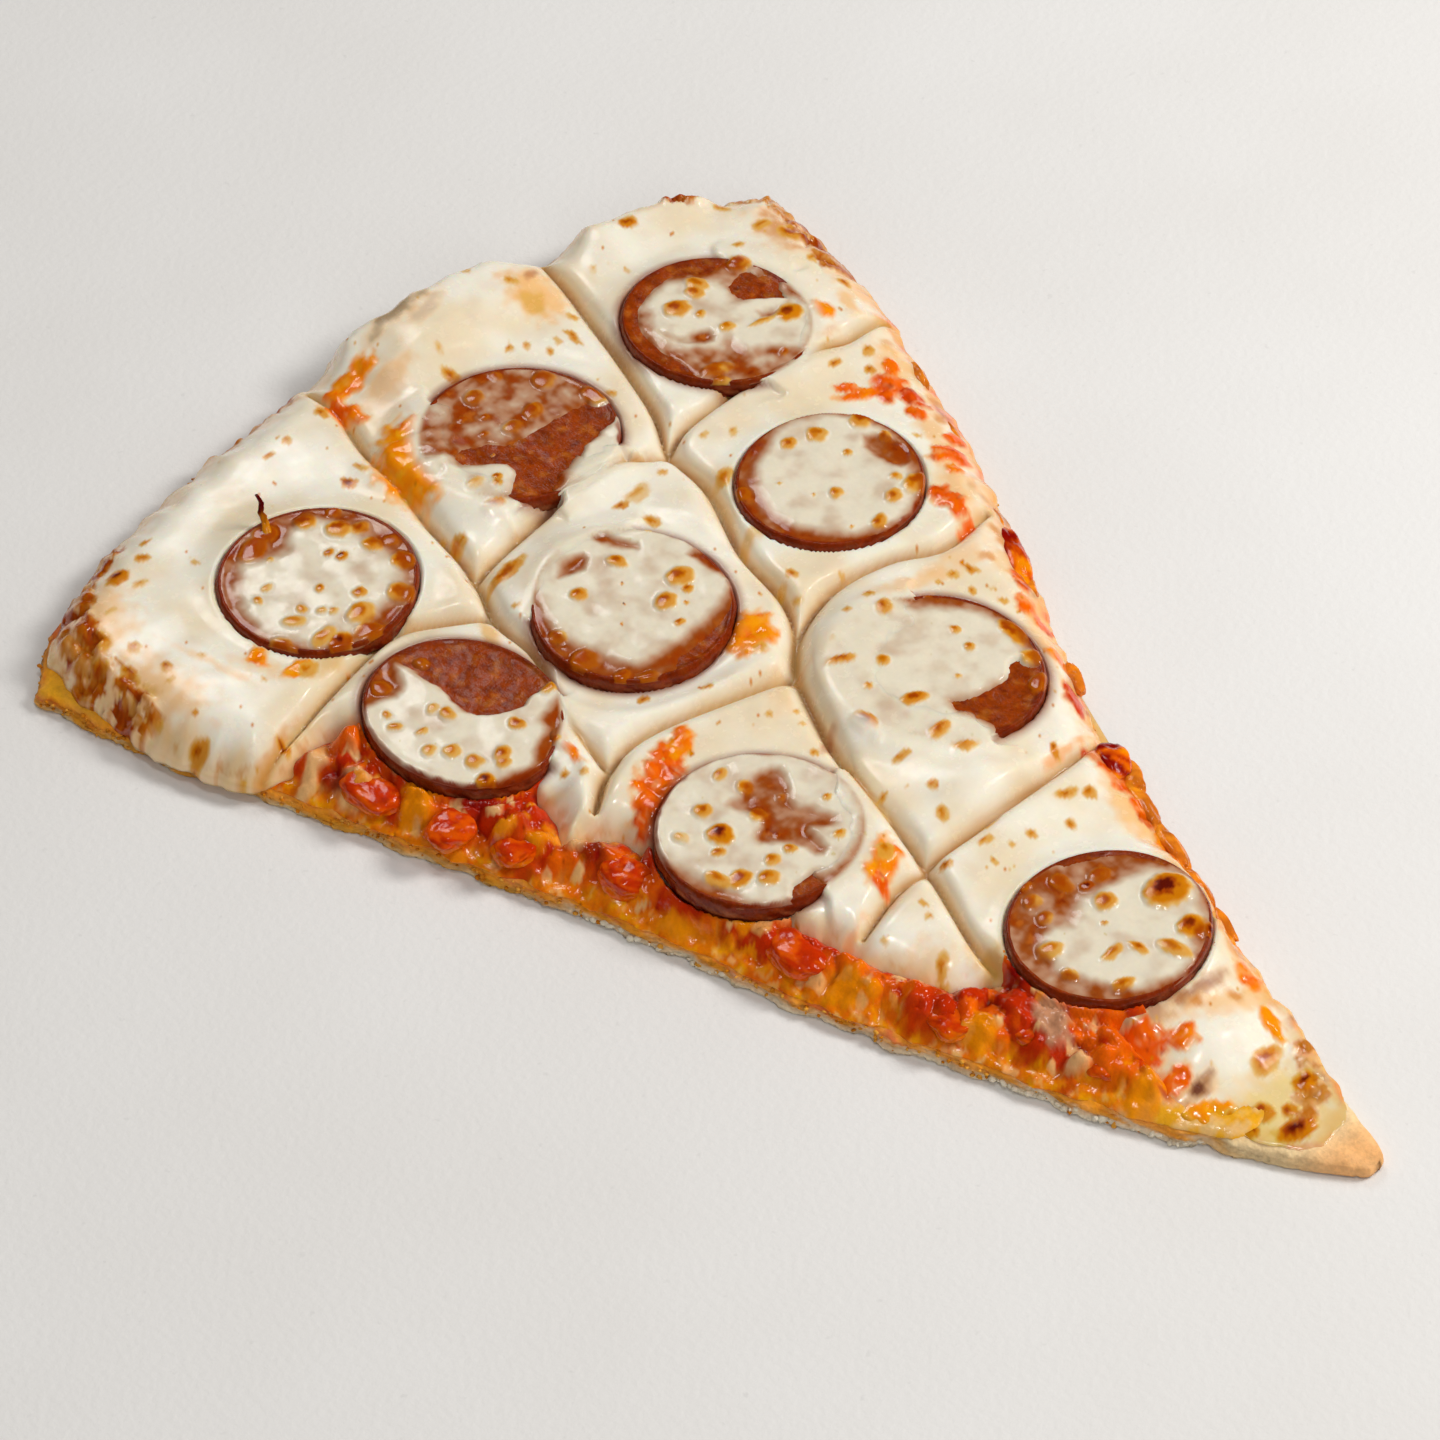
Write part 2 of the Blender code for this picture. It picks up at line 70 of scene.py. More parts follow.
SEAMS = [
    [(37.8, 112), (36, 103), (33, 92.5), (26.5, 72), (21.5, 62.5), (20, 51.5), (14, 37),
     (10.5, 22), (1.5, 11), (-4.5, -1.5), (-9, -15.5), (-12, -31), (-18.5, -49.5), (-19.5, -55)],
    [(-12, 114.5), (-12.5, 106), (-16.5, 91.5), (-18.5, 77.5), (-21, 63), (-25.5, 52),
     (-26.5, 41), (-32.5, 29), (-34, 17)],
    [(-75, 53), (-63, 56), (-50, 59.5), (-38, 60.5), (-26, 54)],
    [(-21, 62), (-8, 64.5), (10, 65), (21, 62.5)],
    [(21, 62.5), (28, 65), (42, 65.5), (56, 63), (71, 62)],
    [(1, 11), (-10, 14), (-25, 17.3), (-34, 16), (-42, 10.5)],
    [(1.5, 11), (8.5, 17.5), (19, 20.8), (30, 19.3), (38.5, 15.8), (50, 17)],
    [(-12.5, -33), (-20, -33.5), (-29.5, -36.5)],
    [(-12.5, -32.5), (0, -32.5), (15, -32), (26, -31.5)],
]
CROWN_ALONG_Y = [-118, -95, -75, -45, -15, 60, 118]
CROWN_HEIGHTS = [4.6, 5.4, 7.2, 8.8, 9.4, 9.4, 9.0]
SEAM_FLOOR = 5.9
SEAM_SHOULDER = 5.4
EDGE_HEIGHT = 4.3
EDGE_SHOULDER = 10.0
SWELLS = [
    (4, -24, 10, 2.2), (8, 106, 12, 1.6), (55, 105, 12, -0.9), (-64, 74, 14, 0.8),
    (12, 46, 7, 1.2), (-14, 20, 8, 0.9), (-52, 104, 12, -0.8), (30, 26, 8, 0.6),
    (60, 45, 12, -1.6), (36, -8, 8, -1.4), (-24, -45, 7, -0.8), (-43, 14, 6, 1.0),
    (17, -44, 8, -1.2), (-4, -88, 7, 1.6), (27, 75, 6, 1.0), (-28, 66, 6, 0.9),
    (18, 116, 10, 1.2), (-4, 112, 6, -1.8), (-15, 89, 5, 1.8), (-12, -79, 6, -1.0), (-2, -100, 9, -0.9),
]
CRUST_TOP = 3.0
SAUCE_TOP = 4.5


def rgb(red, green, blue):
    """A screen colour in 0 to 255 as a base colour, less the pale sheen that moist food adds."""
    share = np.array([red, green, blue]) / 255
    linear = np.where(share <= 0.04045, share / 12.92, ((share + 0.055) / 1.055) ** 2.4)
    return np.clip((linear - 0.028) / 0.972, 0.001, 1)


CHEESE_WHITE = rgb(246, 240, 224)
CHEESE_MID = rgb(241, 228, 202)
CHEESE_CREAM = rgb(232, 205, 160)
# A golden colour for the creases: partly the oil that gathers in them, partly painted shade.
CREASE_OIL_AND_SHADE = rgb(208, 158, 76)
VEIL_WHITE = rgb(234, 224, 202)
VEIL_GREY = rgb(210, 186, 160)
VEIL_PINK = rgb(190, 142, 112)
VEIL_THIN = rgb(160, 90, 54)
MEAT = rgb(160, 76, 22)
MEAT_FAT = rgb(202, 120, 58)
MEAT_DARK = rgb(108, 42, 10)
RIM_BROWN = rgb(134, 60, 22)
GOLD = rgb(226, 176, 84)
ORANGE = rgb(214, 134, 18)
RUST = rgb(172, 82, 8)
SCORCH = rgb(96, 36, 6)
OIL = rgb(250, 152, 16)
PEACH = rgb(244, 196, 136)
SAUCE_ORANGE = rgb(242, 110, 6)
SAUCE_RED = rgb(202, 66, 6)
SAUCE_DARK = rgb(140, 32, 2)
TOMATO_RED = rgb(204, 68, 12)
DOUGH_CREAM = rgb(246, 220, 172)
DOUGH_GOLD = rgb(236, 170, 76)
DOUGH_BROWN = rgb(168, 96, 34)
FLOUR = rgb(250, 238, 214)


# ---------------------------------------------------------------- fields over the plane


def grain(x, y, size, seed):
    """Smooth noise between about -1 and 1 whose grains are size millimetres wide."""
    turn = np.random.default_rng(seed).random((256, 256)) * 2 * math.pi
    slope_x, slope_y = np.cos(turn), np.sin(turn)
    u, v = np.asarray(x, float) / size, np.asarray(y, float) / size
    i, j = np.floor(u).astype(int), np.floor(v).astype(int)
    fu, fv = u - i, v - j
    total = 0.0
    for a in (0, 1):
        for b in (0, 1):
            at = ((i + a) & 255, (j + b) & 255)
            near = slope_x[at] * (fu - a) + slope_y[at] * (fv - b)
            wide = fade(1 - abs(fu - a)) * fade(1 - abs(fv - b))
            total = total + near * wide
    return total * 1.5


def fade(t):
    return t * t * t * (t * (t * 6 - 15) + 10)


def rough(x, y, size, seed, octaves=3):
    """Grains with finer grains on top, each half as wide and half as strong."""
    return sum(grain(x, y, size / 2**k, seed + k) / 2**k for k in range(octaves))


def smooth(low, high, value):
    """0 below low, 1 above high, and a soft step between them."""
    t = np.clip((value - low) / (high - low), 0, 1)
    return t * t * (3 - 2 * t)


def mix(a, b, share):
    share = np.asarray(share, float)[..., None]
    return a * (1 - share) + b * share


def oval(x, y, cx, cy, rx, ry, degrees=0.0):
    """0 in the middle of an oval, 1 at its rim and more outside."""
    turn = math.radians(degrees)
    dx, dy = x - cx, y - cy
    along = dx * math.cos(turn) + dy * math.sin(turn)
    across = dy * math.cos(turn) - dx * math.sin(turn)
    return np.sqrt((along / rx) ** 2 + (across / ry) ** 2)


def distance_to(x, y, line, closed=False):
    """How far each point is from a line of points."""
    line = np.asarray(line, float)
    ends = np.roll(line, -1, axis=0) if closed else line[1:]
    starts = line if closed else line[:-1]
    nearest = np.full(np.shape(x), 1e9)
    for (x0, y0), (x1, y1) in zip(starts, ends):
        dx, dy = x1 - x0, y1 - y0
        share = np.clip(((x - x0) * dx + (y - y0) * dy) / (dx * dx + dy * dy + 1e-12), 0, 1)
        nearest = np.minimum(nearest, (x - x0 - share * dx) ** 2 + (y - y0 - share * dy) ** 2)
    return np.sqrt(nearest)


def inside(x, y, outline):
    """True for each point that lies within a closed outline."""
    hit = np.zeros(np.shape(x), bool)
    for (x0, y0), (x1, y1) in zip(outline, np.roll(outline, -1, axis=0)):
        crosses = (y0 > y) != (y1 > y)
        hit ^= crosses & (x < (x1 - x0) * (y - y0) / ((y1 - y0) or 1.0) + x0)
    return hit


def clumps(x, y, size, seed):
    """Rounded lumps about size apart: their height from 0 to 1 and a random value for each."""
    random = np.random.default_rng(seed).random((64, 64, 4))
    u, v = np.asarray(x, float) / size, np.asarray(y, float) / size
    i, j = np.floor(u).astype(int), np.floor(v).astype(int)
    best, value = np.zeros(u.shape), np.zeros(u.shape)
    for a in (-1, 0, 1):
        for b in (-1, 0, 1):
            jitter_x, jitter_y, girth, tint = random[(i + a) & 63, (j + b) & 63].T
            du = u - i - a - jitter_x.T
            dv = v - j - b - jitter_y.T
            height = (0.6 + 0.4 * girth.T) * (1 - (du**2 + dv**2) / (0.45 + 0.45 * girth.T) ** 2)
            higher = height > best
            best = np.where(higher, height, best)
            value = np.where(higher, tint.T, value)
    return np.sqrt(best), value


def depth_in(x, y, outline):
    """Distance to an outline, above 0 inside it and below 0 outside it."""
    far = distance_to(x, y, outline, closed=True)
    return np.where(inside(x, y, outline), far, -far)


def spline(points, step):
    """Points about step apart on a smooth curve through the given ones."""
    given = np.array(points, float)
    knots = np.vstack([2 * given[0] - given[1], given, 2 * given[-1] - given[-2]])
    dense = []
    for p0, p1, p2, p3 in zip(knots, knots[1:], knots[2:], knots[3:]):
        t = np.linspace(0, 1, 24, endpoint=False)[:, None]
        bend = 2 * p0 - 5 * p1 + 4 * p2 - p3
        twist = 3 * p1 - p0 - 3 * p2 + p3
        dense.append(0.5 * (2 * p1 + (p2 - p0) * t + bend * t**2 + twist * t**3))
    dense = np.vstack([*dense, given[-1:]])
    run = np.concatenate([[0], np.cumsum(np.linalg.norm(np.diff(dense, axis=0), axis=1))])
    wanted = np.linspace(0, run[-1], max(2, round(run[-1] / step) + 1))
    return np.column_stack([np.interp(wanted, run, dense[:, k]) for k in (0, 1)])


def rim_arc(start, end, radius, step):
    """The rim between two corners. It leaves the corners gradually, as they are a little short."""
    angles = [math.atan2(p[0] - PIZZA_CENTRE[0], p[1] - PIZZA_CENTRE[1]) for p in (start, end)]
    reach = [math.dist(p, PIZZA_CENTRE) for p in (start, end)]
    count = round(abs(angles[1] - angles[0]) * radius / step)
    turn = np.linspace(angles[0], angles[1], count + 1)
    share = np.linspace(-1, 1, count + 1)
    corner = np.interp(share, [-1, 1], reach)
    reached = corner + (radius - corner) * (1 - share**6)
    arc = np.column_stack([np.sin(turn), np.cos(turn)]) * reached[:, None] + PIZZA_CENTRE
    return arc[1:-1]


def wedge(right, cut, tip, radius, step):
    """The closed outline of one layer, anticlockwise from its tip."""
    sides = spline(tip + right, step)
    rim = rim_arc(right[-1], cut[0], radius, step)
    back = spline(cut + tip, step)
    return np.vstack([sides, rim, back[:-1]])


def normals_of(outline):
    """The outward direction at each point of an anticlockwise outline."""
    along = np.roll(outline, -1, axis=0) - np.roll(outline, 1, axis=0)
    along /= np.linalg.norm(along, axis=1)[:, None]
    return np.column_stack([along[:, 1], -along[:, 0]])


def inset(outline, distance):
    return outline - normals_of(outline) * np.reshape(distance, (-1, 1))


STEP = 1.0
CRUST_EVEN = wedge(CRUST_RIGHT, CRUST_CUT, CRUST_TIP, PIZZA_RADIUS, STEP)
BAKED = np.array([noise.noise(Vector((x * 0.21, y * 0.21, 1.0))) for x, y in CRUST_EVEN])
CRUST_TORN = 0.35 * rough(CRUST_EVEN[:, 0], CRUST_EVEN[:, 1], 3.0, 11) + 0.12 * grain(
    CRUST_EVEN[:, 0], CRUST_EVEN[:, 1], 1.1, 12
)
CALM = smooth(-113, -106, CRUST_EVEN[:, 1])
CRUST_LINE = inset(CRUST_EVEN, (0.9 * BAKED + CRUST_TORN) * (0.15 + 0.85 * CALM))
SAUCE_EVEN = wedge(SAUCE_RIGHT, SAUCE_CUT, SAUCE_TIP, PIZZA_RADIUS - SAUCE_INSET, STEP)
SAUCE_LINE = inset(SAUCE_EVEN, 0.7 * rough(SAUCE_EVEN[:, 0], SAUCE_EVEN[:, 1], 5.0, 14) - 0.3)
CHEESE_EVEN = wedge(CHEESE_RIGHT, CHEESE_CUT, CHEESE_TIP, PIZZA_RADIUS - CHEESE_INSET, STEP)


def rim_swell(x, y):
    """How far the cheese of the two far cells has run out over the rim, from 0 to 1."""
    middle = smooth(-10, -1, x) * smooth(39, 29, x)
    far = 0.9 * smooth(40, 49, x) * smooth(78, 64, x)
    return (middle + far) * smooth(98, 108, y)


CHEESE_LINE = inset(
    CHEESE_EVEN,
    0.9 * rough(CHEESE_EVEN[:, 0], CHEESE_EVEN[:, 1], 6.0, 15) - 3.0 * rim_swell(*CHEESE_EVEN.T),
)
SEAM_LINES = [spline(points, 2.5) for points in SEAMS]


# ---------------------------------------------------------------- the rounds of pepperoni


# How deep the cheese lies below the top of each round where they meet. On the side towards the
# given direction (degrees, spread) the round lies freer by some more.
SEATS = [
    (0.3, 222, 80, 0.9), (0.45, 190, 80, 2.3), (0.15, -25, 75, 0.5), (0.4, 238, 85, 1.1),
    (0.35, -125, 80, 1.5), (0.25, -110, 90, 0.3), (0.1, -110, 80, 0.3), (0.05, 80, 60, 0.2),
    (0.25, -140, 80, 0.4),
]
# Where cheese has run over the edge of a round: direction, spread in degrees, how far.
LAPS = {
    1: [(-48, 58, 4.0)], 2: [(160, 104, 8.0)], 3: [(-50, 34, 2.6)], 4: [(95, 58, 2.6)],
    7: [(165, 66, 6.0), (-82, 34, 5.0)], 8: [(-52, 60, 3.0), (25, 30, 2.6)],
}


class Round:
    """Where one CAD pepperoni lies: its middle, half sizes, tilt and the height of its top."""

    def __init__(self, index):
        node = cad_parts[f"pepperoni_{index + 1}"]
        at = np.array([v.co for v in node.data.vertices], float) / MM
        low, high = at.min(0), at.max(0)
        self.index = index
        self.x, self.y = (low[:2] + high[:2]) / 2
        self.rx, self.ry = (high[:2] - low[:2]) / 2
        plane = np.column_stack([np.ones(len(at)), at[:, 0] - self.x, at[:, 1] - self.y])
        self.middle, self.rise_x, self.rise_y = np.linalg.lstsq(plane, at[:, 2], rcond=None)[0]
        off = at[:, 2] - plane @ np.array([self.middle, self.rise_x, self.rise_y])
        self.under = off.min()
        self.thick = 2.8

    def place(self, x, y):
        return (x - self.x), (y - self.y)

    def share(self, x, y):
        """0 in the middle of the round and 1 at its uneven edge."""
        dx, dy = self.place(x, y)
        turn = np.arctan2(dy, dx)
        uneven = 1 + 0.012 * np.cos(2 * turn + self.index) + 0.008 * np.cos(3 * turn + 2.1 * self.index)
        return np.sqrt((dx / self.rx) ** 2 + (dy / self.ry) ** 2) / uneven

    def level(self, x, y):
        """The height of the round's underside, which tilts with it."""
        dx, dy = self.place(x, y)
        return self.middle + self.under + self.rise_x * dx + self.rise_y * dy

    def turned(self, x, y, facing):
        """How many degrees each point lies off the given direction from the round's middle."""
        dx, dy = self.place(x, y)
        return np.abs((np.degrees(np.arctan2(dy, dx)) - facing + 180) % 360 - 180)

    def seat(self, x, y):
        """The height at which the cheese around the round meets its side."""
        deep, facing, spread, more = SEATS[self.index]
        free = more * smooth(spread, 0.3 * spread, self.turned(x, y, facing))
        return self.level(x, y) + self.thick - deep - free

    def lap(self, x, y):
        """How far the cheese around the round has run over its edge."""
        far = np.zeros(np.shape(x))
        for facing, spread, reach in LAPS.get(self.index, []):
            off = self.turned(x, y, facing) + 7 * grain(x, y, 3.5, 26)
            far = np.maximum(far, reach * smooth(spread, spread - 20, off))
        return far * (1 + 0.2 * grain(x, y, 3.0, 27))

    def top(self, x, y, lipped=1.0, fine=1.0):
        """The height of the bare meat: flat, rough, with a lip along the edge."""
        q = self.share(x, y)
        lip = 0.34 * np.exp(-(((q - 0.965) / 0.04) ** 2))
        fall = 0.55 * smooth(0.965, 1.0, q)
        wavy = 0.14 * grain(x, y, 4.5, 30 + self.index) + 0.07 * fine * grain(x, y, 1.4, 31)
        return self.level(x, y) + self.thick + lipped * (lip - fall) + wavy * smooth(1.0, 0.9, q)


ROUNDS = [Round(i) for i in range(9)]


# ---------------------------------------------------------------- the cheese


def shoulder(share, power=2.4):
    """0 at a line or an edge, rising steeply and then levelling off at 1."""
    return 1 - (1 - np.clip(share, 0, 1)) ** power


def soft_min(a, b, width):
    """The lower of two heights, rounded over where they meet."""
    share = np.clip(0.5 + 0.5 * (b - a) / width, 0, 1)
    return b * (1 - share) + a * share - width * share * (1 - share)


# Browned blisters: x, y, length, width, turn in degrees, how brown from 0 to 1.
CHEESE_SPOTS = [
    (-63.7, 100.9, 3.8, 3.2, 0, 0.85), (-57.8, 101.6, 1.8, 1.8, 0, 0.5), (-62, 97, 2.6, 1.3, 0, 0.4),
    (-78.8, 87, 3.4, 2.6, 40, 0.7), (-76, 82.5, 1.6, 3.2, 0, 0.6), (-71.7, 78.8, 1.8, 2.0, 0, 0.6),
    (-76.6, 80.3, 1.6, 1.6, 0, 0.5), (-73, 76, 1.4, 0.8, 0, 0.45), (-79, 73, 1.8, 2.6, 0, 0.6),
    (-77.6, 63.8, 3.0, 3.8, -30, 0.65), (-76.6, 54.3, 2.6, 3.2, 0, 0.85), (-66, 77, 1, 1, 0, 0.3),
    (-67.8, 54.6, 1.6, 2.2, -30, 0.75), (-69.4, 95.2, 2.2, 0.9, 10, 0.35), (-52.5, 94.5, 1, 2.4, 0, 0.35),
    (-22.6, 91.7, 2.0, 2.6, 0, 0.8), (-19, 93, 0.8, 3.0, 0, 0.4), (-23.6, 106, 1.4, 1.4, 0, 0.45),
    (-14.5, 107.6, 2.0, 2.6, 0, 0.6), (-28, 105.6, 1.6, 0.6, 0, 0.6), (-55, 104.5, 1.6, 0.6, 0, 0.6),
    (-18.9, 69.3, 3.6, 2.6, 0, 0.5), (-19.3, 72.8, 0.9, 0.9, 0, 0.45), (-62, 65.5, 0.8, 0.6, 0, 0.3),
    (-74.6, 68, 0.9, 0.9, 0, 0.6), (-55.5, 63.3, 4.2, 2.0, 20, 0.5), (-9.6, 80.9, 3.0, 2.4, 0, 0.55),
    (6.1, 98.9, 2.2, 3.6, 0, 0.6), (18.3, 97.8, 1.4, 1.4, 0, 0.5), (20.9, 96.5, 1.0, 1.0, 0, 0.4),
    (22.6, 92.8, 1.2, 1.2, 0, 0.4), (27.8, 92.5, 1.2, 4.6, 0, 0.5), (25, 94, 1.0, 1.6, 0, 0.35),
    (27.6, 108.4, 1.8, 1.8, 0, 0.4), (31.4, 97.4, 1.2, 2.6, 0, 0.4), (23.8, 115.5, 1.4, 1.6, 30, 0.35),
    (73.5, 88.0, 5.5, 4.0, 20, 0.62), (70.5, 92.5, 3.5, 2.5, 0, 0.5), (76.5, 84.0, 3.0, 4.0, 0, 0.75),
    (-75.0, 90.5, 2.6, 3.6, -10, 0.6), (-72.2, 86.0, 1.6, 2.6, 0, 0.5), (-78.0, 82.0, 2.4, 3.0, 0, 0.7),
    (-16.4, -27.6, 3.4, 2.6, 20, 0.55),
    (53.6, 107.6, 2.8, 2.4, 0, 0.75), (41.8, 103.3, 1.2, 1.2, 0, 0.25), (69.3, 100.8, 2.4, 2.4, 0, 0.5),
    (46, 99.6, 0.8, 1.4, -20, 0.3), (23, 78, 2.0, 1.4, 0, 0.4), (7.5, 103.5, 1.2, 2.4, 0, 0.25),
    (-18, 58.1, 9.5, 2.6, 8, 0.6), (6.0, 57.2, 2.2, 1.4, 0, 0.6), (9.8, 57.3, 5.4, 3.2, 10, 0.32),
    (7.0, 50.6, 2.6, 2.6, 0, 0.5), (16.4, 58.4, 1.2, 1.8, 0, 0.35), (-22.4, 50.8, 1.4, 0.8, 0, 0.5),
    (-20.2, 23.2, 1.8, 1.6, 0, 0.6), (-11, 18, 1.2, 1.2, 0, 0.5), (0.3, 18.3, 1.4, 1.2, 0, 0.45),
    (12, 26, 2.6, 1.8, 0, 0.3), (15.6, 26.9, 1.4, 1.8, 0, 0.55), (12.4, 22.3, 1.6, 1.2, 0, 0.28),
    (21.5, 21.8, 0.9, 0.9, 0, 0.35), (22.6, 20, 0.8, 0.8, 0, 0.35), (-40.6, 19, 1.2, 1.0, 0, 0.5),
    (-38.8, 16.8, 1.0, 1.8, 0, 0.4), (22.8, 50.6, 4.6, 2.4, 25, 0.5), (27.6, 60.4, 1.8, 1.0, 0, 0.35),
    (31.6, 57.9, 2.4, 1.0, 20, 0.35), (55.4, 59, 2.2, 1.2, 0, 0.6), (61.6, 57, 1.6, 1.6, 0, 0.55),
    (59, 53.9, 2.0, 1.6, 0, 0.6), (53.2, 37.2, 1.0, 1.0, 0, 0.4), (71, 80.5, 1.8, 2.2, 0, 0.4),
    (71, 72.5, 1.6, 2.6, 0, 0.6), (64, 91, 2.6, 1.2, -30, 0.45), (20.3, 14.2, 1.8, 1.6, 0, 0.5),
    (15.4, 13.8, 1.2, 1.0, 0, 0.4), (8.6, 10.6, 1.2, 1.0, 0, 0.45), (31.4, 9.4, 1.0, 1.0, 0, 0.45),
    (34.3, 9.4, 1.2, 1.2, 0, 0.45), (37.6, 8, 1.4, 2.4, 20, 0.6), (34.2, 4.4, 1.2, 1.2, 0, 0.5),
    (36.5, -0.3, 1.4, 1.2, 0, 0.5), (24.3, -4.6, 0, 0, 0, 0), (-9, -4.4, 0.9, 1.6, 0, 0.5),
    (-6, 1.4, 0.8, 0.8, 0, 0.35), (-8.7, 6.2, 1.2, 1.0, 0, 0.35), (-5.3, 4.1, 1.2, 1.0, 0, 0.35),
    (-8.4, -19, 1.4, 1.0, 0, 0.5), (-1.8, -23.3, 1.4, 1.8, -20, 0.55), (-4.2, -27.9, 1.8, 3.0, -20, 0.45),
    (-0.8, -15.4, 3.0, 1.4, 5, 0.5), (7.8, -14.4, 4.6, 2.4, 10, 0.6), (8.2, -20.2, 4.2, 2.8, -35, 0.6),
    (0.2, -33.4, 3.4, 1.8, 0, 0.5), (-10.6, -35.7, 2.0, 1.2, 0, 0.6), (-3, -36.2, 2.4, 1.2, -20, 0.5),
    (-5, -40.2, 1.2, 1.0, 0, 0.4), (-0.8, -39.4, 1.0, 1.0, 0, 0.4), (3.2, -40.1, 1.6, 2.0, 0, 0.5),
    (9.6, -42, 1.4, 1.2, 0, 0.55), (13.6, -37.2, 3.4, 1.8, -10, 0.55), (16.8, -39.2, 2.0, 2.0, 0, 0.55),
    (-19, -38.8, 1.2, 1.0, 0, 0.5), (-20.2, -41.2, 1.0, 1.0, 0, 0.4), (-24.6, -48.8, 4.4, 1.4, 35, 0.5),
    (-27.8, -39.5, 1.2, 1.0, 0, 0.35), (-27.2, -51.4, 2.6, 1.6, 0, 0.45), (19, -29.2, 0.9, 2.0, -25, 0.7),
    (-0.5, -94.0, 6.4, 3.2, 10, 0.62), (1.2, -100.4, 4.4, 3.6, 20, 0.85), (-6.8, -106.0, 7.0, 3.2, -15, 0.9),
    (-11.6, -101.6, 2.6, 2.6, 0, 0.8), (-8, -100.2, 3.4, 3.4, 40, 0.7), (-15.2, -106.6, 1.2, 1.2, 0, 0.9),
    (-4.8, -103, 2.4, 2.0, 0, 0.7), (-12.5, -98, 5.0, 2.0, 10, 0.45),
]
# Pools of sauce and oil that show through: x, y, length, width, turn, how red from 0 to 1.
POOLS = [
    (-12.5, 87.5, 20.0, 12.5, 62, 0.1), (-16.6, 82.6, 5.0, 5.5, 0, 0.0), (-8.0, 93.5, 7, 4.0, 20, 0.2),
    (-6.6, 110.2, 13, 5.0, 10, 0.25), (-11.6, 105.5, 4.2, 9.0, 5, 0.4),
    (1.6, 21.6, 10.0, 7.5, 20, 0.22), (-2.4, 24.0, 7.0, 2.4, 15, 0.3),
    (-31.6, 7.2, 19, 7.6, 32, 0.5), (-36.5, 2.6, 10.0, 7.0, 55, 0.65), (-24.0, 11.0, 9, 4.4, 30, 0.25),
    (-17.6, -28.4, 9.0, 5.6, 25, 0.25), (-20.5, -31.0, 5.0, 2.4, 60, 0.5), (-37.2, 23.0, 1.8, 8.0, 5, 0.4), (-36.4, 25.6, 3.4, 3.0, 0, 0.4),
    (-59.4, 70.8, 5.5, 3.6, 60, 0.2), (-56.5, 64.5, 5.0, 3.2, 10, 0.1),
    (59.0, 49.2, 8.0, 5.6, 40, 0.6), (54.6, 50.4, 10.0, 3.2, -25, 0.35), (60.2, 45.2, 4.2, 8.0, 10, 0.75),
    (53.0, 53.2, 4.5, 2.2, -30, 0.4), (62.0, 52.0, 6.0, 2.8, 60, 0.4), (57.6, 41.4, 3.0, 5.0, 10, 0.5),
    (62.6, 69.0, 4.0, 5.0, 0, 0.15), (54.6, 30.6, 5.0, 7.4, 60, 0.5), (52.2, 27.2, 3.0, 3.2, 0, 0.3),
    (46.2, 22.2, 4.4, 9.4, -8, 0.55), (45.0, 16.4, 4.0, 3.0, 30, 0.5), (58.6, 33.6, 3.6, 4.0, 0, 0.5),
    (39.6, -2.4, 4.0, 4.6, 0, 0.45), (39.2, -6.6, 3.2, 5.4, -20, 0.5), (35.2, -13.6, 3.2, 4.8, -20, 0.3),
    (43.0, 2.5, 3.0, 6.0, -28, 0.6), (30.6, -22.0, 3.6, 6.4, -20, 1.0), (25.2, -33.6, 7.0, 5.6, 10, 0.8),
    (23.6, -39.0, 4.0, 7.0, -15, 0.6), (21.4, -46.0, 2.4, 8.0, -20, 0.5), (19.0, -54.0, 2.6, 9.0, -20, 0.3),
    (16.8, -63.5, 2.8, 10.0, -18, 0.3), (8.6, -81.2, 4.0, 6.4, -20, 0.35), (12.8, -73.0, 2.6, 7.0, -18, 0.2),
    (-13.4, -80.2, 8.0, 9.0, 20, 0.6), (-8.0, -83.5, 4.5, 5.0, 0, 0.35), (-14.5, -88.0, 7, 4.5, 0, 0.45),
    (-15.0, -95.0, 13.0, 4.4, -30, 0.05), (4.8, -90.0, 3.0, 7.0, -15, 0.1),
]
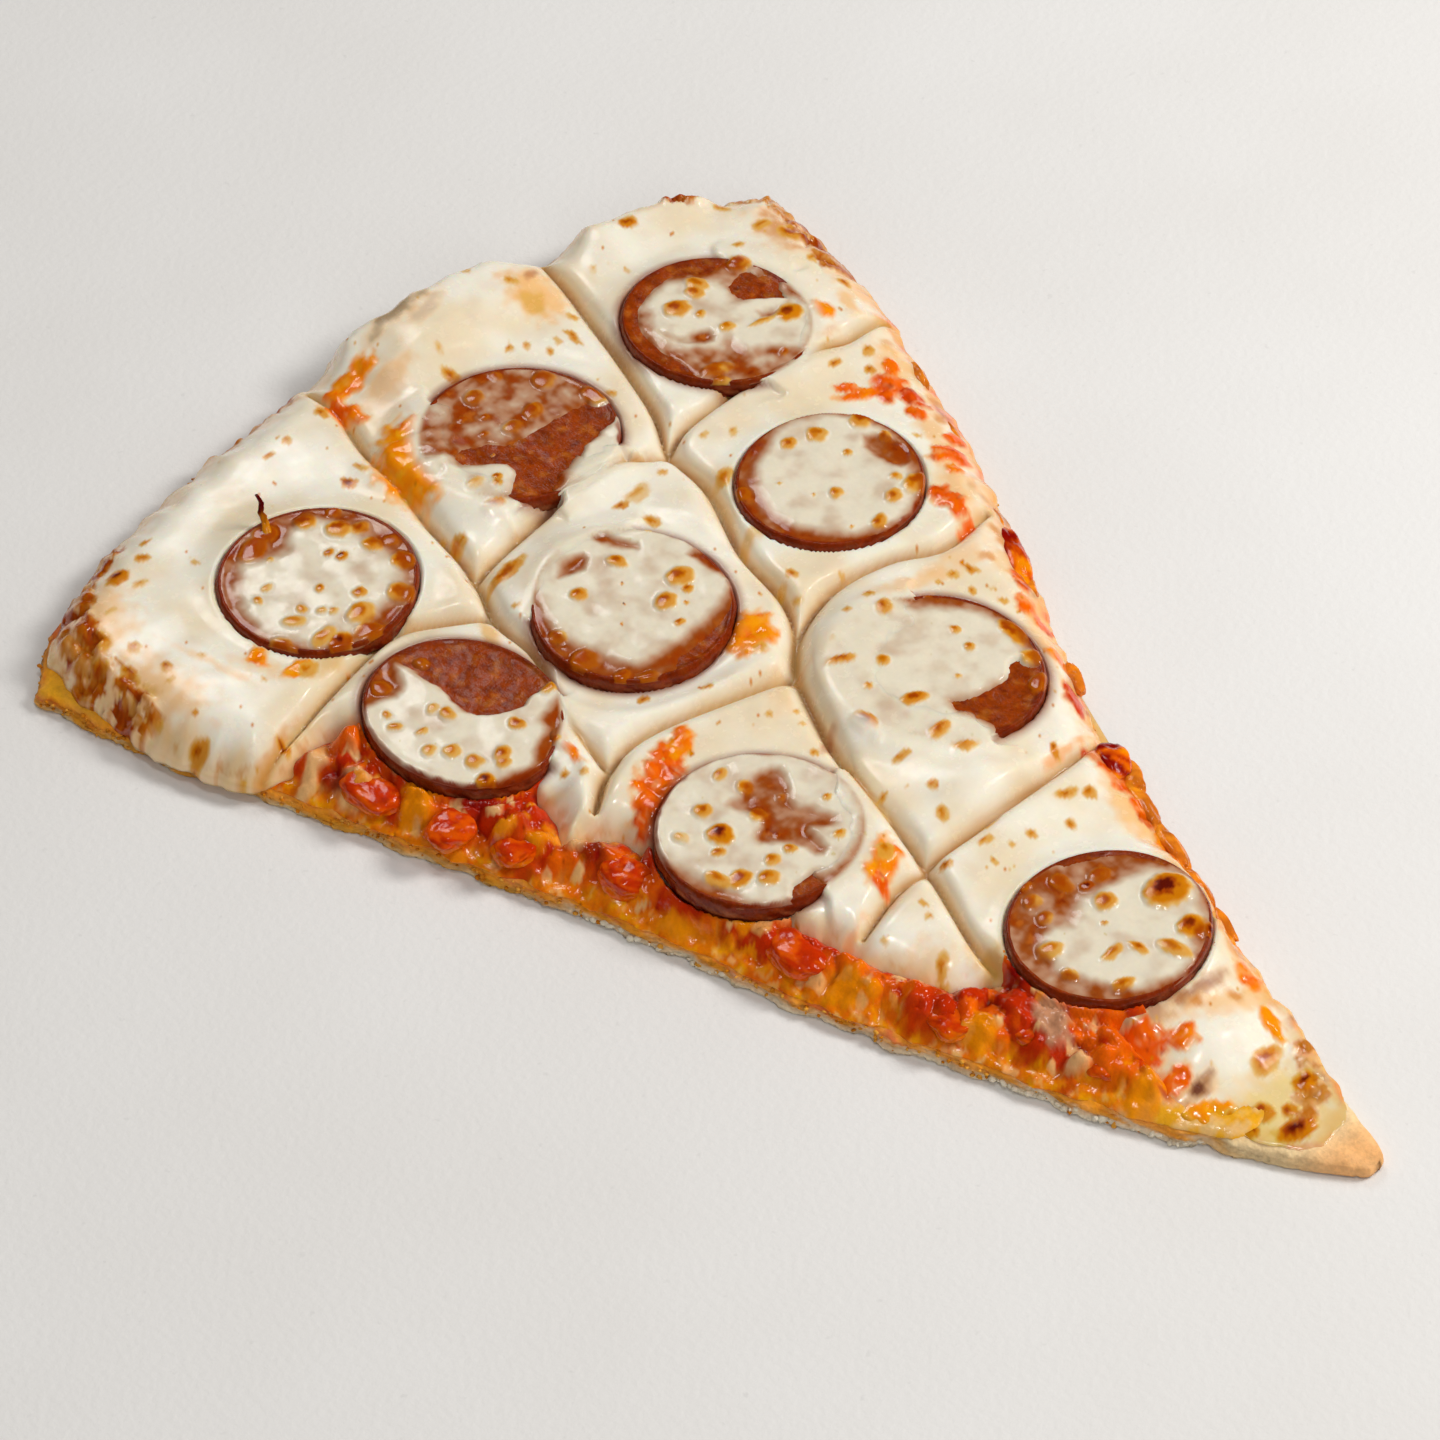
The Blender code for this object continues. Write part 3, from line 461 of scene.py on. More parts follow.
# Soft stains in the cheese, and two patches of painted shade in a hollow and a fold: x, y, length, width, turn,
# colour, strength.
STAINS = [
    (29.6, 104.5, 9, 11.0, 10, PEACH, 0.9), (28, 103, 5, 7.0, 0, GOLD, 0.7),
    (32.0, 108.0, 4, 2, 10, RUST, 0.5), (-3.0, 105.0, 12, 6.0, 20, PEACH, 0.6),
    (-72.5, 97.0, 13, 20.0, -25, PEACH, 0.7), (-75.5, 77.0, 10, 18.0, 5, PEACH, 0.7),
    (-77.0, 92.0, 5, 14.0, -15, ORANGE, 0.6), (-71.0, 104.0, 6, 8.0, -40, VEIL_THIN, 0.5),
    (73.0, 89.0, 9, 13.0, 0, ORANGE, 0.7),
    (-77.6, 77.6, 4, 6.0, 30, GOLD, 0.7), (-65.9, 74.0, 1.6, 16, 12, PEACH, 0.45),
    (-70.5, 54.8, 16, 1.6, 18, ORANGE, 0.4), (-60.6, 69, 4, 10.0, 20, PEACH, 0.4),
    (67.5, 68.0, 3.0, 8.0, -15, PEACH, 0.7), (72.0, 72.0, 5, 12, -15, PEACH, 0.6),
    (16.8, 37.6, 9, 3.0, 15, GOLD, 0.6), (22.0, 33.4, 4, 3.0, -30, ORANGE, 0.5),
    (18, 47, 3, 10, -15, CHEESE_CREAM, 0.6), (44.0, 6.0, 7, 7.0, 30, PEACH, 0.55),
    (39.0, 12.0, 14, 5, 0, PEACH, 0.45), (20.5, -30.0, 12.0, 1.6, 5, OIL, 0.5),
    (20, -45.5, 6, 16, -20, PEACH, 0.8), (15.5, -60, 5, 14, -20, PEACH, 0.6),
    (-9.0, -77.5, 15, 5.5, 5, VEIL_PINK, 0.85), (-1.0, -79.4, 12, 3.0, 0, VEIL_THIN, 0.7),
    (3.0, -84.0, 14, 5.0, -20, PEACH, 0.6), (-12.4, -91.0, 6.0, 3.2, 0, RIM_BROWN, 0.95),
    (-12.4, -91.2, 3.6, 1.8, 0, SCORCH, 0.8), (-19.5, -65.5, 7, 10, 0, VEIL_GREY, 0.8),
    # The golden-brown patch at (-19, -54) is painted shade in the hollow where the cheese meets the round beside
    # it.
    (-19.0, -54.0, 5, 8, -15, CREASE_OIL_AND_SHADE, 0.7), (-6.0, -101.0, 22, 12, 0, rgb(246, 208, 138), 0.75),
    (-1.0, -110.0, 12, 7.0, 0, PEACH, 0.5), (-28.5, 50.5, 3.0, 9.0, -25, GOLD, 0.6),
    (-33, -36, 14, 2.0, 18, OIL, 0.4), (-26.0, -47.0, 9, 8, 0, PEACH, 0.4),
    (-6.0, -4.0, 7.0, 2.0, 30, RUST, 0.45), (-4, 9, 3, 10, -40, CHEESE_CREAM, 0.5),
    (1.0, 10.5, 4, 3, 0, ORANGE, 0.4), (20.8, 62.0, 3, 3, 0, ORANGE, 0.3),
    # The grey-brown strip at (8, 115) is painted shade in the fold where the cheese hangs over the back edge.
    (8.0, 115.0, 14, 3.4, 8, rgb(150, 128, 100), 0.75), (12.0, 112.0, 10, 3.0, 20, VEIL_GREY, 0.6),
    (-5, 102, 14, 7, 35, VEIL_GREY, 0.3), (57.0, 65.5, 12, 2.0, -10, ORANGE, 0.3),
    (28.0, 12.0, 16, 3.5, -15, PEACH, 0.5), (-48, 47, 14, 6, 10, PEACH, 0.4),
    (66.5, 57.5, 3.0, 4.0, -20, ORANGE, 0.6), (63.5, 52.5, 7.0, 12.0, -20, PEACH, 0.7),
    (57.0, 37.0, 5.0, 14.0, -25, PEACH, 0.7), (50.0, 24.0, 5.0, 14.0, -25, PEACH, 0.7),
    (64.0, 44.0, 2.4, 3.4, 0, ORANGE, 0.7), (60.5, 39.0, 2.0, 3.0, 0, ORANGE, 0.6),
    (48.0, 12.0, 3.0, 5.0, -20, ORANGE, 0.7), (44.0, 3.5, 3.0, 5.0, -20, ORANGE, 0.7),
    (41.5, 9.0, 2.4, 2.4, 0, ORANGE, 0.6), (37.5, -8.0, 5.0, 12.0, -22, PEACH, 0.7),
    (-1.9, -81.0, 3.4, 3.0, 0, ORANGE, 0.7), (4.0, -83.0, 3.0, 4.0, -20, ORANGE, 0.7),
    (11.0, -76.0, 3.0, 7.0, -20, ORANGE, 0.7), (-51.8, 62.6, 9.0, 4.0, 10, GOLD, 0.5),
    (-35.0, 65.0, 2.6, 9.0, -15, ORANGE, 0.35), (30.0, -7.0, 4.0, 5.0, 0, GOLD, 0.35),
]
# Browned, torn cheese at the corners and the rim: a line, half its width, how brown.
BROWNED = [
    ([(-60, 110.5), (-67, 107), (-71.5, 103), (-75, 98), (-78.5, 90), (-80, 82), (-80.5, 75)], 3.2, 0.95),
    ([(66, 108.5), (74, 104.5), (79, 100.5), (79.4, 93), (78, 86), (75.5, 79)], 4.2, 0.9),
    ([(-31, 116), (-22, 117), (-12, 117.6)], 1.6, 0.75),
    ([(6, -96), (3, -101), (-3, -104.5)], 2.0, 0.5),
    ([(-22, 118.5), (-26, 117.5), (-31, 116.5)], 2.2, 0.9),
]


class Cheese:
    """Heights and colours of the cheese at any points of the plane."""

    def __init__(self, x, y, outline):
        self.x, self.y = x, y
        self.seams = [distance_to(x, y, seam) for seam in SEAM_LINES]
        self.seam = np.min(self.seams, axis=0)
        self.edge = np.maximum(depth_in(x, y, outline), 0)
        self.bend_x = x + 0.55 * rough(x, y, 3.2, 41, 2)
        self.bend_y = y + 0.55 * rough(x, y, 3.2, 51, 2)

    def height(self):
        x, y = self.x, self.y
        swell = rim_swell(x, y)
        crown = 0.3 + np.interp(y, CROWN_ALONG_Y, CROWN_HEIGHTS) + 2.2 * swell
        for sx, sy, radius, rise in SWELLS:
            crown = crown + rise * np.exp(-((x - sx) ** 2 + (y - sy) ** 2) / radius**2)
        crown = crown + 0.4 * grain(x, y, 15.0, 21) + 0.12 * grain(x, y, 7.0, 22)
        filled = 3.2 * np.exp(-((x + 14) ** 2 + (y - 88) ** 2) / 75)
        filled = filled + 1.6 * np.exp(-((x + 10) ** 2 + (y - 107) ** 2) / 36)
        floor = np.minimum(SEAM_FLOOR + filled, crown - 1)
        wide = SEAM_SHOULDER * (1 + 0.25 * grain(x, y, 18.0, 24))
        full = np.ones(np.shape(x))
        for seam in self.seams:
            full = full * shoulder(seam / wide, 3.4)
        pillow = floor + (crown - floor) * full
        at_tip = smooth(-84, -100, y)
        crown = crown * (1 - at_tip) + (3.4 + 0.2 * grain(x, y, 4.0, 25)) * at_tip
        rest = (EDGE_HEIGHT - 0.3) * (1 - at_tip) + 2.9 * at_tip
        slope = rest + (crown - rest) * shoulder(self.edge / (EDGE_SHOULDER - 4.5 * swell))
        top = soft_min(pillow, slope, 1.0)
        for each in ROUNDS:
            q = each.share(x, y)
            gap = (q - 1) * (each.rx + each.ry) / 2
            lap = each.lap(x, y)
            over = smooth(0.3, 1.5, lap)
            near = smooth(-0.2, 2.6, self.seam) * smooth(0.0, 2.5, self.edge)
            close = np.flatnonzero(q < 1.5)
            veiled = np.zeros(np.shape(x))
            if each.index in LAPS:
                veil = Veil(each, VEILS[each.index], x[close], y[close])
                veiled[close] = veil.height(plain=True)
            inner = 0.22 * smooth(-lap, -lap + 3.0, gap) - 0.16 * smooth(-lap + 2.0, -lap, gap)
            against = (each.seat(x, y) - 0.22 * np.maximum(gap, 0)) * (1 - over)
            against = against + over * (veiled + inner - 0.06 * np.maximum(gap, 0))
            hug = smooth(7.0, 0.5, gap) * np.maximum(near, 0.85 * over)
            hug = np.maximum(hug, over * smooth(0.8, 0.0, gap))
            pull = 0.85 + 0.15 * over
            top = top * (1 - hug) + ((1 - pull) * top + pull * against) * hug
            shut = smooth(0.3 - 0.3 * over, -0.4 - 0.3 * over, gap + lap)
            top = top * (1 - shut) + np.minimum(top, each.level(x, y) - 0.4) * shut
            top = top - 0.08 * np.exp(-((gap - 0.3) ** 2) / 0.06) * (1 - over)
        top = top - 0.5 * np.exp(-((self.seam / 0.45) ** 2))
        much, _ = self.pools()
        lump, _ = clumps(self.bend_x, self.bend_y, 2.8, 87)
        top = top + much * (0.5 * lump + 0.35 * much - 0.3) + self.browned()[0]
        for sx, sy, length, width, turn, brown in CHEESE_SPOTS:
            if length:
                q = oval(self.bend_x, self.bend_y, sx, sy, length / 2, width / 2, turn)
                top = top + 0.22 * brown * np.exp(-(q**2) * 1.5) * min(1.0, length / 3)
        self.top = top
        return top

    def pools(self):
        """How much sauce shows through at each point and how red it is."""
        much, red = np.zeros(np.shape(self.x)), np.zeros(np.shape(self.x))
        blotch = 0.28 * rough(self.x, self.y, 2.2, 85, 2)
        for sx, sy, length, width, turn, tint in POOLS:
            q = oval(self.bend_x, self.bend_y, sx, sy, length / 2, width / 2, turn) + blotch
            here = smooth(1.3, 0.55, q)
            red = np.where(here > much, tint, red)
            much = np.maximum(much, here)
        return much, red

    def colour(self):
        x, y, bx, by = self.x, self.y, self.bend_x, self.bend_y
        cloud = smooth(-0.5, 0.8, rough(x, y, 16.0, 61))
        paint = mix(mix(CHEESE_WHITE, CHEESE_MID, cloud), CHEESE_CREAM, 0.25 * cloud)
        fleck = smooth(0.2, 1.0, rough(x, y, 7.0, 64, 2))
        paint = mix(paint, VEIL_GREY, 0.2 * fleck)
        # Painted shade in the creases, together with the oil that gathers there: creamier within a few
        # millimetres of each seam, a golden line along the bottom of each crease and, in places, a rust line on
        # it.
        paint = mix(paint, CHEESE_CREAM, 0.25 * smooth(3.0, 0.6, self.seam))
        edge_warm = smooth(5.0, 0.3, self.edge + 1.8 * rough(x, y, 5.0, 66))
        paint = mix(paint, mix(PEACH, GOLD, smooth(-0.2, 0.6, rough(x, y, 4.0, 65))), 0.55 * edge_warm)
        streak = smooth(0.15, 0.75, rough(x * 0.7 + y, y * 0.5 - x, 3.0, 63))
        paint = mix(paint, ORANGE, 0.55 * streak * smooth(3.6, 0.4, self.edge))
        at_cut = smooth(8, -6, x * 0.93 + y * -0.35 + 50) * smooth(54, 50, y)
        thin = smooth(2.6, 0.2, self.edge + 1.3 * rough(x, y, 2.6, 67)) * at_cut
        paint = mix(paint, OIL, 0.85 * thin)
        right = smooth(3.4, 0.3, self.edge + 2.4 * rough(x, y, 5.0, 69)) * smooth(0, 20, x - 0.3 * y)
        drawn = mix(mix(GOLD, OIL, 0.5), SAUCE_ORANGE, smooth(0.0, 0.5, rough(x, y, 6.0, 70)))
        drawn = mix(drawn, SAUCE_DARK, 0.7 * smooth(0.35, 0.8, rough(x, y, 5.0, 78)))
        paint = mix(paint, drawn, 0.75 * right * smooth(95, 80, y))
        paint = mix(paint, CREASE_OIL_AND_SHADE, 0.85 * np.exp(-((self.seam / 0.75) ** 2)))
        line = np.exp(-((self.seam / 0.45) ** 2)) * smooth(-0.6, 0.6, grain(x, y, 9.0, 68))
        paint = mix(paint, RUST, 0.5 * line)
        blotch = 0.4 * rough(x, y, 2.6, 71, 2)
        for sx, sy, length, width, turn, tint, strength in STAINS:
            q = oval(bx, by, sx, sy, length / 2, width / 2, turn) + blotch
            paint = mix(paint, PEACH, 0.5 * strength * smooth(1.5, 0.9, q))
            paint = mix(paint, tint, strength * smooth(1.15, 0.4, q))
        much, red = self.pools()
        paint = mix(paint, PEACH, 0.7 * smooth(0.0, 0.35, much))
        tone = 0.22 * rough(x, y, 3.0, 86)
        up_x, up_y = x + 1.3 * self.top, y - 0.9 * self.top
        sauce = mix(mix(GOLD, OIL, smooth(-0.2, 0.05, red + tone)), SAUCE_ORANGE, smooth(0.1, 0.5, red + tone))
        sauce = mix(sauce, rgb(212, 76, 20), smooth(0.5, 0.9, red + tone))
        pale = smooth(0.1, 0.7, rough(up_x, up_y, 1.9, 79, 2)) * smooth(0.1, 0.4, red)
        sauce = mix(sauce, PEACH, 0.4 * pale)
        sauce = mix(sauce, rgb(250, 176, 52), 0.7 * smooth(0.0, 0.5, rough(up_x, up_y, 2.6, 90)) * smooth(0.4, 0.1, red))
        sauce = mix(sauce, SAUCE_DARK, 0.5 * smooth(0.1, 0.8, rough(up_x, up_y, 2.2, 88)) * smooth(0.3, 0.6, red))
        paint = mix(paint, sauce, smooth(0.2, 0.85, much))
        small = smooth(0.88, 1.03, rough(x, y, 1.9, 75, 2) + 0.25 * grain(x, y, 14.0, 77))
        brown = 0.5 * small
        for sx, sy, length, width, turn, depth in CHEESE_SPOTS:
            if length:
                q = oval(bx, by, sx, sy, length / 2 + 0.25, width / 2 + 0.25, turn)
                core = oval(bx, by, sx, sy + 0.12 * width, 0.35 * length, 0.35 * width, turn)
                brown = np.maximum(brown, blister(x, y, q, core, depth))
        crisp = self.browned(0.9 * self.top)[1]
        fatty = mix(rgb(196, 124, 76), rgb(238, 192, 150), smooth(-0.5, 0.4, rough(up_x, up_y, 2.4, 80)))
        paint = mix(paint, fatty, 0.9 * smooth(0.02, 0.25, crisp))
        brown = np.maximum(brown, np.maximum(crisp - 0.12, 0))
        paint = toasted(paint, brown, 0.6 * smooth(0.05, 0.3, crisp))
        for each in ROUNDS:
            q = each.share(x, y)
            near = np.flatnonzero(q < 1.2)
            if each.index in LAPS and len(near):
                over, _ = Veil(each, VEILS[each.index], x[near], y[near]).colour()
                paint[near] = mix(over, paint[near], smooth(0.97, 1.14, q[near]))
        wet = 0.4 + 0.3 * edge_warm + 0.3 * smooth(0.2, 0.8, brown) + 0.6 * much
        return paint, np.clip(wet, 0, 1)

    def browned(self, lift=0.0):
        """The height and the browning of the torn cheese at the corners and the rim."""
        x, y = self.x + lift, self.y - 0.6 * lift
        lump, kind = clumps(x + 0.8 * grain(x, y, 2.0, 81), y + 0.8 * grain(x, y, 2.0, 82), 3.0, 83)
        most = np.zeros(np.shape(x))
        for line, wide, brown in BROWNED:
            far = distance_to(self.x, self.y, spline(line, 2.0)) + 1.3 * rough(x, y, 3.6, 84)
            most = np.maximum(most, brown * smooth(wide + 0.8, wide - 1.0, far))
        depth = most * (0.1 + 1.0 * kind) + 0.25 * most * rough(x, y, 1.3, 89, 2)
        return 1.7 * most * lump - 0.6 * most, np.clip(depth, 0, 1)


def blister(x, y, q, core, depth):
    """How brown a blister is: q is 1 at its rim, core is 1 at the rim of its darker side."""
    rim = smooth(1.25, 0.7, q + 0.14 * grain(x, y, 1.3, 74))
    dark = smooth(1.0, 0.25, core + 0.3 * grain(x, y, 0.9, 72))
    return np.clip(depth * rim * (0.62 + 0.55 * dark), 0, 1)


def toasted(paint, brown, dark=0.0):
    """Colours over which cheese and meat brown, from gold through rust to black-brown."""
    dark = dark + 0 * brown
    paint = mix(paint, mix(GOLD + 0 * paint, rgb(184, 104, 36), dark), smooth(0.02, 0.28, brown) * 0.9)
    paint = mix(paint, mix(ORANGE + 0 * paint, rgb(170, 84, 14), dark), smooth(0.22, 0.5, brown))
    paint = mix(paint, RUST, smooth(0.48, 0.78, brown))
    return mix(paint, SCORCH, smooth(0.78, 1.05, brown))



# ---------------------------------------------------------------- meshes


def grid_in(outline, step, keep=None):
    """A square grid cut to an outline. Points just outside are moved onto the outline."""
    outline = np.asarray(outline)
    low, high = outline.min(0) - 1.01 * step, outline.max(0) + 1.01 * step
    columns = np.arange(low[0], high[0], step)
    rows = np.arange(low[1], high[1], step)
    x, y = np.meshgrid(columns, rows)
    within = inside(x, y, outline)
    if keep is not None:
        within &= keep(x, y)
    corner = within[:-1, :-1] | within[1:, :-1] | within[:-1, 1:] | within[1:, 1:]
    number = np.arange(x.size).reshape(x.shape)
    quads = np.stack(
        [number[:-1, :-1], number[:-1, 1:], number[1:, 1:], number[1:, :-1]], axis=-1
    )[corner]
    used, quads = np.unique(quads, return_inverse=True)
    quads = quads.reshape(-1, 4)
    x, y, within = x.ravel()[used], y.ravel()[used], within.ravel()[used]
    outer = np.flatnonzero(~within & ~inside(x, y, outline))
    x[outer], y[outer] = nearest_on(x[outer], y[outer], outline)
    return x, y, quads


def nearest_on(x, y, outline):
    """The point of a closed outline that is nearest to each point."""
    best = np.full(np.shape(x), 1e9)
    near_x, near_y = x.copy(), y.copy()
    for (x0, y0), (x1, y1) in zip(outline, np.roll(outline, -1, axis=0)):
        dx, dy = x1 - x0, y1 - y0
        share = np.clip(((x - x0) * dx + (y - y0) * dy) / (dx * dx + dy * dy + 1e-12), 0, 1)
        px, py = x0 + share * dx, y0 + share * dy
        far = (x - px) ** 2 + (y - py) ** 2
        closer = far < best
        best = np.where(closer, far, best)
        near_x, near_y = np.where(closer, px, near_x), np.where(closer, py, near_y)
    return near_x, near_y


def border_of(quads, count):
    """The open edges of a sheet of faces, each from its first to its second corner."""
    edges = np.concatenate([quads[:, [k, (k + 1) % 4]] for k in range(4)])
    forward = edges[:, 0] * count + edges[:, 1]
    backward = edges[:, 1] * count + edges[:, 0]
    return edges[~np.isin(forward, backward)]


def outward_at(x, y, border):
    """The level direction away from a sheet at each point of its border."""
    push = np.zeros((len(x), 2))
    along = np.column_stack([x[border[:, 1]] - x[border[:, 0]], y[border[:, 1]] - y[border[:, 0]]])
    normal = np.column_stack([along[:, 1], -along[:, 0]])
    for k in (0, 1):
        np.add.at(push, border[:, k], normal)
    length = np.linalg.norm(push, axis=1)
    return push / np.maximum(length, 1e-9)[:, None]


def solid_sheet(x, y, top, quads, rows, floor):
    """Points and faces of a closed body: a top, a side of several rows and an underside.

    rows(bx, by, bz) gives for the border points a list of (push outwards, height).
    floor(x, y) is the height of the underside.
    """
    count = len(x)
    border = border_of(quads, count)
    ring = np.unique(border)
    place = np.full(count, -1)
    place[ring] = np.arange(len(ring))
    push = outward_at(x, y, border)[ring]
    points = [np.column_stack([x, y, top])]
    faces = [quads]
    above = ring
    base = count
    last = None
    for out, height in rows(x[ring], y[ring], top[ring]):
        ring_x = x[ring] + push[:, 0] * out
        ring_y = y[ring] + push[:, 1] * out
        height = np.broadcast_to(height, ring_x.shape)
        points.append(np.column_stack([ring_x, ring_y, height]))
        below = base + np.arange(len(ring))
        a, b = place[border[:, 0]], place[border[:, 1]]
        faces.append(np.column_stack([above[b], above[a], below[a], below[b]]))
        above, base = below, base + len(ring)
        last = (ring_x, ring_y)
    under_x, under_y = x.copy(), y.copy()
    if last is not None:
        under_x[ring], under_y[ring] = last
    inner = np.setdiff1d(np.arange(count), ring)
    under = np.empty(count, int)
    under[ring] = above
    under[inner] = base + np.arange(len(inner))
    points.append(
        np.column_stack([under_x[inner], under_y[inner], floor(under_x[inner], under_y[inner])])
    )
    faces.append(under[quads][:, ::-1])
    return np.vstack(points), np.vstack(faces)


def make_piece(name, points, faces, paint, wet, look, node=None):
    """A smooth mesh object with its colours and wetness, riding on the slice."""
    mesh = bpy.data.meshes.new(name)
    points = np.asarray(points, float)
    if isinstance(faces, np.ndarray):
        mesh.vertices.add(len(points))
        mesh.vertices.foreach_set("co", (points * MM).astype(np.float32).ravel())
        mesh.loops.add(faces.size)
        mesh.loops.foreach_set("vertex_index", faces.astype(np.int32).ravel())
        mesh.polygons.add(len(faces))
        mesh.polygons.foreach_set(
            "loop_start", np.arange(0, faces.size, faces.shape[1], dtype=np.int32)
        )
        mesh.update(calc_edges=True)
        mesh.validate()
    else:
        mesh.from_pydata(points * MM, [], faces)
    mesh.shade_smooth()
    colour = np.ones((len(points), 4), np.float32)
    colour[:, :3] = np.clip(paint, 0, 1)
    layer = mesh.attributes.new("paint", "FLOAT_COLOR", "POINT")
    layer.data.foreach_set("color", colour.ravel())
    layer = mesh.attributes.new("wet", "FLOAT", "POINT")
    layer.data.foreach_set("value", np.broadcast_to(wet, len(points)).astype(np.float32))
    mesh.materials.append(look)
    piece = bpy.data.objects.new(name, mesh)
    bpy.context.scene.collection.objects.link(piece)
    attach(piece, "root")
    if node:
        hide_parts(node)
    return piece


# ---------------------------------------------------------------- materials


class Nodes:
    """A short way to write a node material."""

    def __init__(self, name):
        self.made = bpy.data.materials.new(name)
        self.made.use_nodes = True
        self.tree = self.made.node_tree
        self.shader = self.tree.nodes["Principled BSDF"]

    def add(self, kind, links=(), **values):
        node = self.tree.nodes.new(kind)
        for key, value in values.items():
            setattr(node, key, value)
        for socket, source in dict(links).items():
            self.put(node, socket, source)
        return node

    def put(self, node, socket, source):
        if hasattr(source, "is_output"):
            self.tree.links.new(source, node.inputs[socket])
        else:
            node.inputs[socket].default_value = source

    def set(self, **values):
        for key, value in values.items():
            self.put(self.shader, key.replace("_", " "), value)

    def grain(self, scale, detail=2.0, kind="ShaderNodeTexNoise"):
        place = self.tree.nodes.get("place") or self.add("ShaderNodeTexCoord", name="place")
        found = self.add(kind, {"Vector": place.outputs["Object"], "Scale": scale})
        if kind == "ShaderNodeTexNoise":
            found.inputs["Detail"].default_value = detail
        return found.outputs[0]

    def scaled(self, value, low, high, to_low, to_high):
        sockets = {0: value, 1: low, 2: high, 3: to_low, 4: to_high}
        return self.add("ShaderNodeMapRange", sockets).outputs[0]


def food_look(name, dry, slick, shade, bumps, flesh=0.0, flesh_depth=0.002, coat=0.0, shine=0.5):
    """A painted, moist material. dry and slick are the roughness where wet is 0 and 1.

    shade is how much fine grain darkens the colour. bumps is a list of (grain scale per metre,
    depth in metres).
    """
    nodes = Nodes(name)
    paint = nodes.add("ShaderNodeAttribute", attribute_name="paint").outputs["Color"]
    wet = nodes.add("ShaderNodeAttribute", attribute_name="wet").outputs["Fac"]
    fine = nodes.scaled(nodes.grain(1400, 4.0), 0.35, 0.65, 1 - shade, 1.0)
    broad = nodes.scaled(nodes.grain(320, 3.0), 0.35, 0.65, 1 - shade, 1 + 0.3 * shade)
    both = nodes.add("ShaderNodeMath", {0: fine, 1: broad}, operation="MULTIPLY").outputs[0]
    toned = nodes.add("ShaderNodeVectorMath", {0: paint, 1: both}, operation="MULTIPLY")
    nodes.put(nodes.shader, "Base Color", toned.outputs[0])
    gloss = nodes.scaled(wet, 0.0, 1.0, dry, slick)
    blotch = nodes.scaled(nodes.grain(500, 3.0), 0.3, 0.7, -0.07, 0.09)
    gloss = nodes.add("ShaderNodeMath", {0: gloss, 1: blotch}, operation="ADD").outputs[0]
    nodes.put(nodes.shader, "Roughness", gloss)
    normal = None
    for scale, depth in bumps:
        links = {"Height": nodes.grain(scale, 3.0), "Strength": 1.0, "Distance": depth}
        if normal is not None:
            links["Normal"] = normal
        normal = nodes.add("ShaderNodeBump", links).outputs[0]
    nodes.put(nodes.shader, "Normal", normal)
    if flesh:
        nodes.shader.inputs["Subsurface Weight"].default_value = flesh
        nodes.shader.inputs["Subsurface Radius"].default_value = (1.0, 0.5, 0.22)
        nodes.shader.inputs["Subsurface Scale"].default_value = flesh_depth
    nodes.shader.inputs["Specular IOR Level"].default_value = shine
    nodes.shader.inputs["Coat Weight"].default_value = coat
    nodes.shader.inputs["Coat Roughness"].default_value = 0.12
    return nodes.made


LOOKS = {
    "cheese": food_look("cheese", 0.27, 0.14, 0.02, [(150, 0.00003), (1300, 0.000003)], 0.4, 0.003),
    "veil": food_look("melted_cheese", 0.24, 0.12, 0.03, [(160, 0.00002), (1300, 0.000002)], 0.2, 0.0015,
                      0.1, 0.4),
    "meat": food_look("pepperoni", 0.32, 0.14, 0.24, [(1100, 0.00016), (3000, 0.00006)], 0.05, 0.001,
                      0.08, 0.22),
    "sauce": food_look("sauce", 0.3, 0.1, 0.1, [(500, 0.0002), (1900, 0.00004)], 0.08, 0.001,
                       0.3, 0.25),
    "tomato": food_look("tomato", 0.3, 0.1, 0.12, [(380, 0.00014), (1900, 0.00003)], 0.1, 0.001,
                        0.3, 0.25),
    "crust": food_look("crust", 0.75, 0.32, 0.14, [(700, 0.00022), (2400, 0.0001)], 0.05, 0.001,
                       0.0, 0.3),
}


# ---------------------------------------------------------------- the crust


def crust_paint(x, y, z):
    """Toasted dough, floury at the bottom of the cut and soaked with oil near the sauce."""
    shifted = x + 2.3 * z, y - 3.1 * z
    patchy = rough(*shifted, 5.0, 91)
    paint = mix(DOUGH_GOLD, DOUGH_CREAM, smooth(-0.4, 0.6, patchy))
    paint = mix(paint, DOUGH_BROWN, 0.7 * smooth(0.25, 0.8, rough(*shifted, 3.6, 94)))
    dusty = smooth(-100, -94, y) * smooth(12, 0, y) * (0.75 + 0.25 * smooth(-60, -70, y))
    floury = smooth(1.9, 0.9, z + 1.1 * rough(*shifted, 5.0, 97)) * dusty
    paint = mix(paint, FLOUR, 0.9 * floury)
    soaked = smooth(0.3, 1.3, z + 0.5 * rough(*shifted, 6.0, 99)) * smooth(-100, -92, y)
    oily = mix(rgb(240, 160, 40), mix(rgb(255, 160, 20), SAUCE_ORANGE, smooth(0.1, 0.6, rough(*shifted, 4.0, 98))), smooth(0.6, 2.2, z))
    paint = mix(paint, oily, 0.85 * soaked * (1 - 0.7 * floury))
    at_tip = smooth(-97, -103, y)
    paint = mix(paint, mix(rgb(254, 224, 174), rgb(252, 192, 132), smooth(-107, -115, y)), 0.93 * at_tip)
    left = smooth(1.15, 0.5, oval(x, y, -85, 89, 9, 9) + 0.2 * patchy) * smooth(2.0, 2.8, z)
    paint = mix(paint, rgb(236, 172, 20), 0.9 * left)
    burnt = smooth(-0.2, 0.4, rough(*shifted, 2.6, 101)) * smooth(95, 104, y) * smooth(-40, -75, x)
    paint = mix(paint, SCORCH, 0.75 * burnt)
    return paint


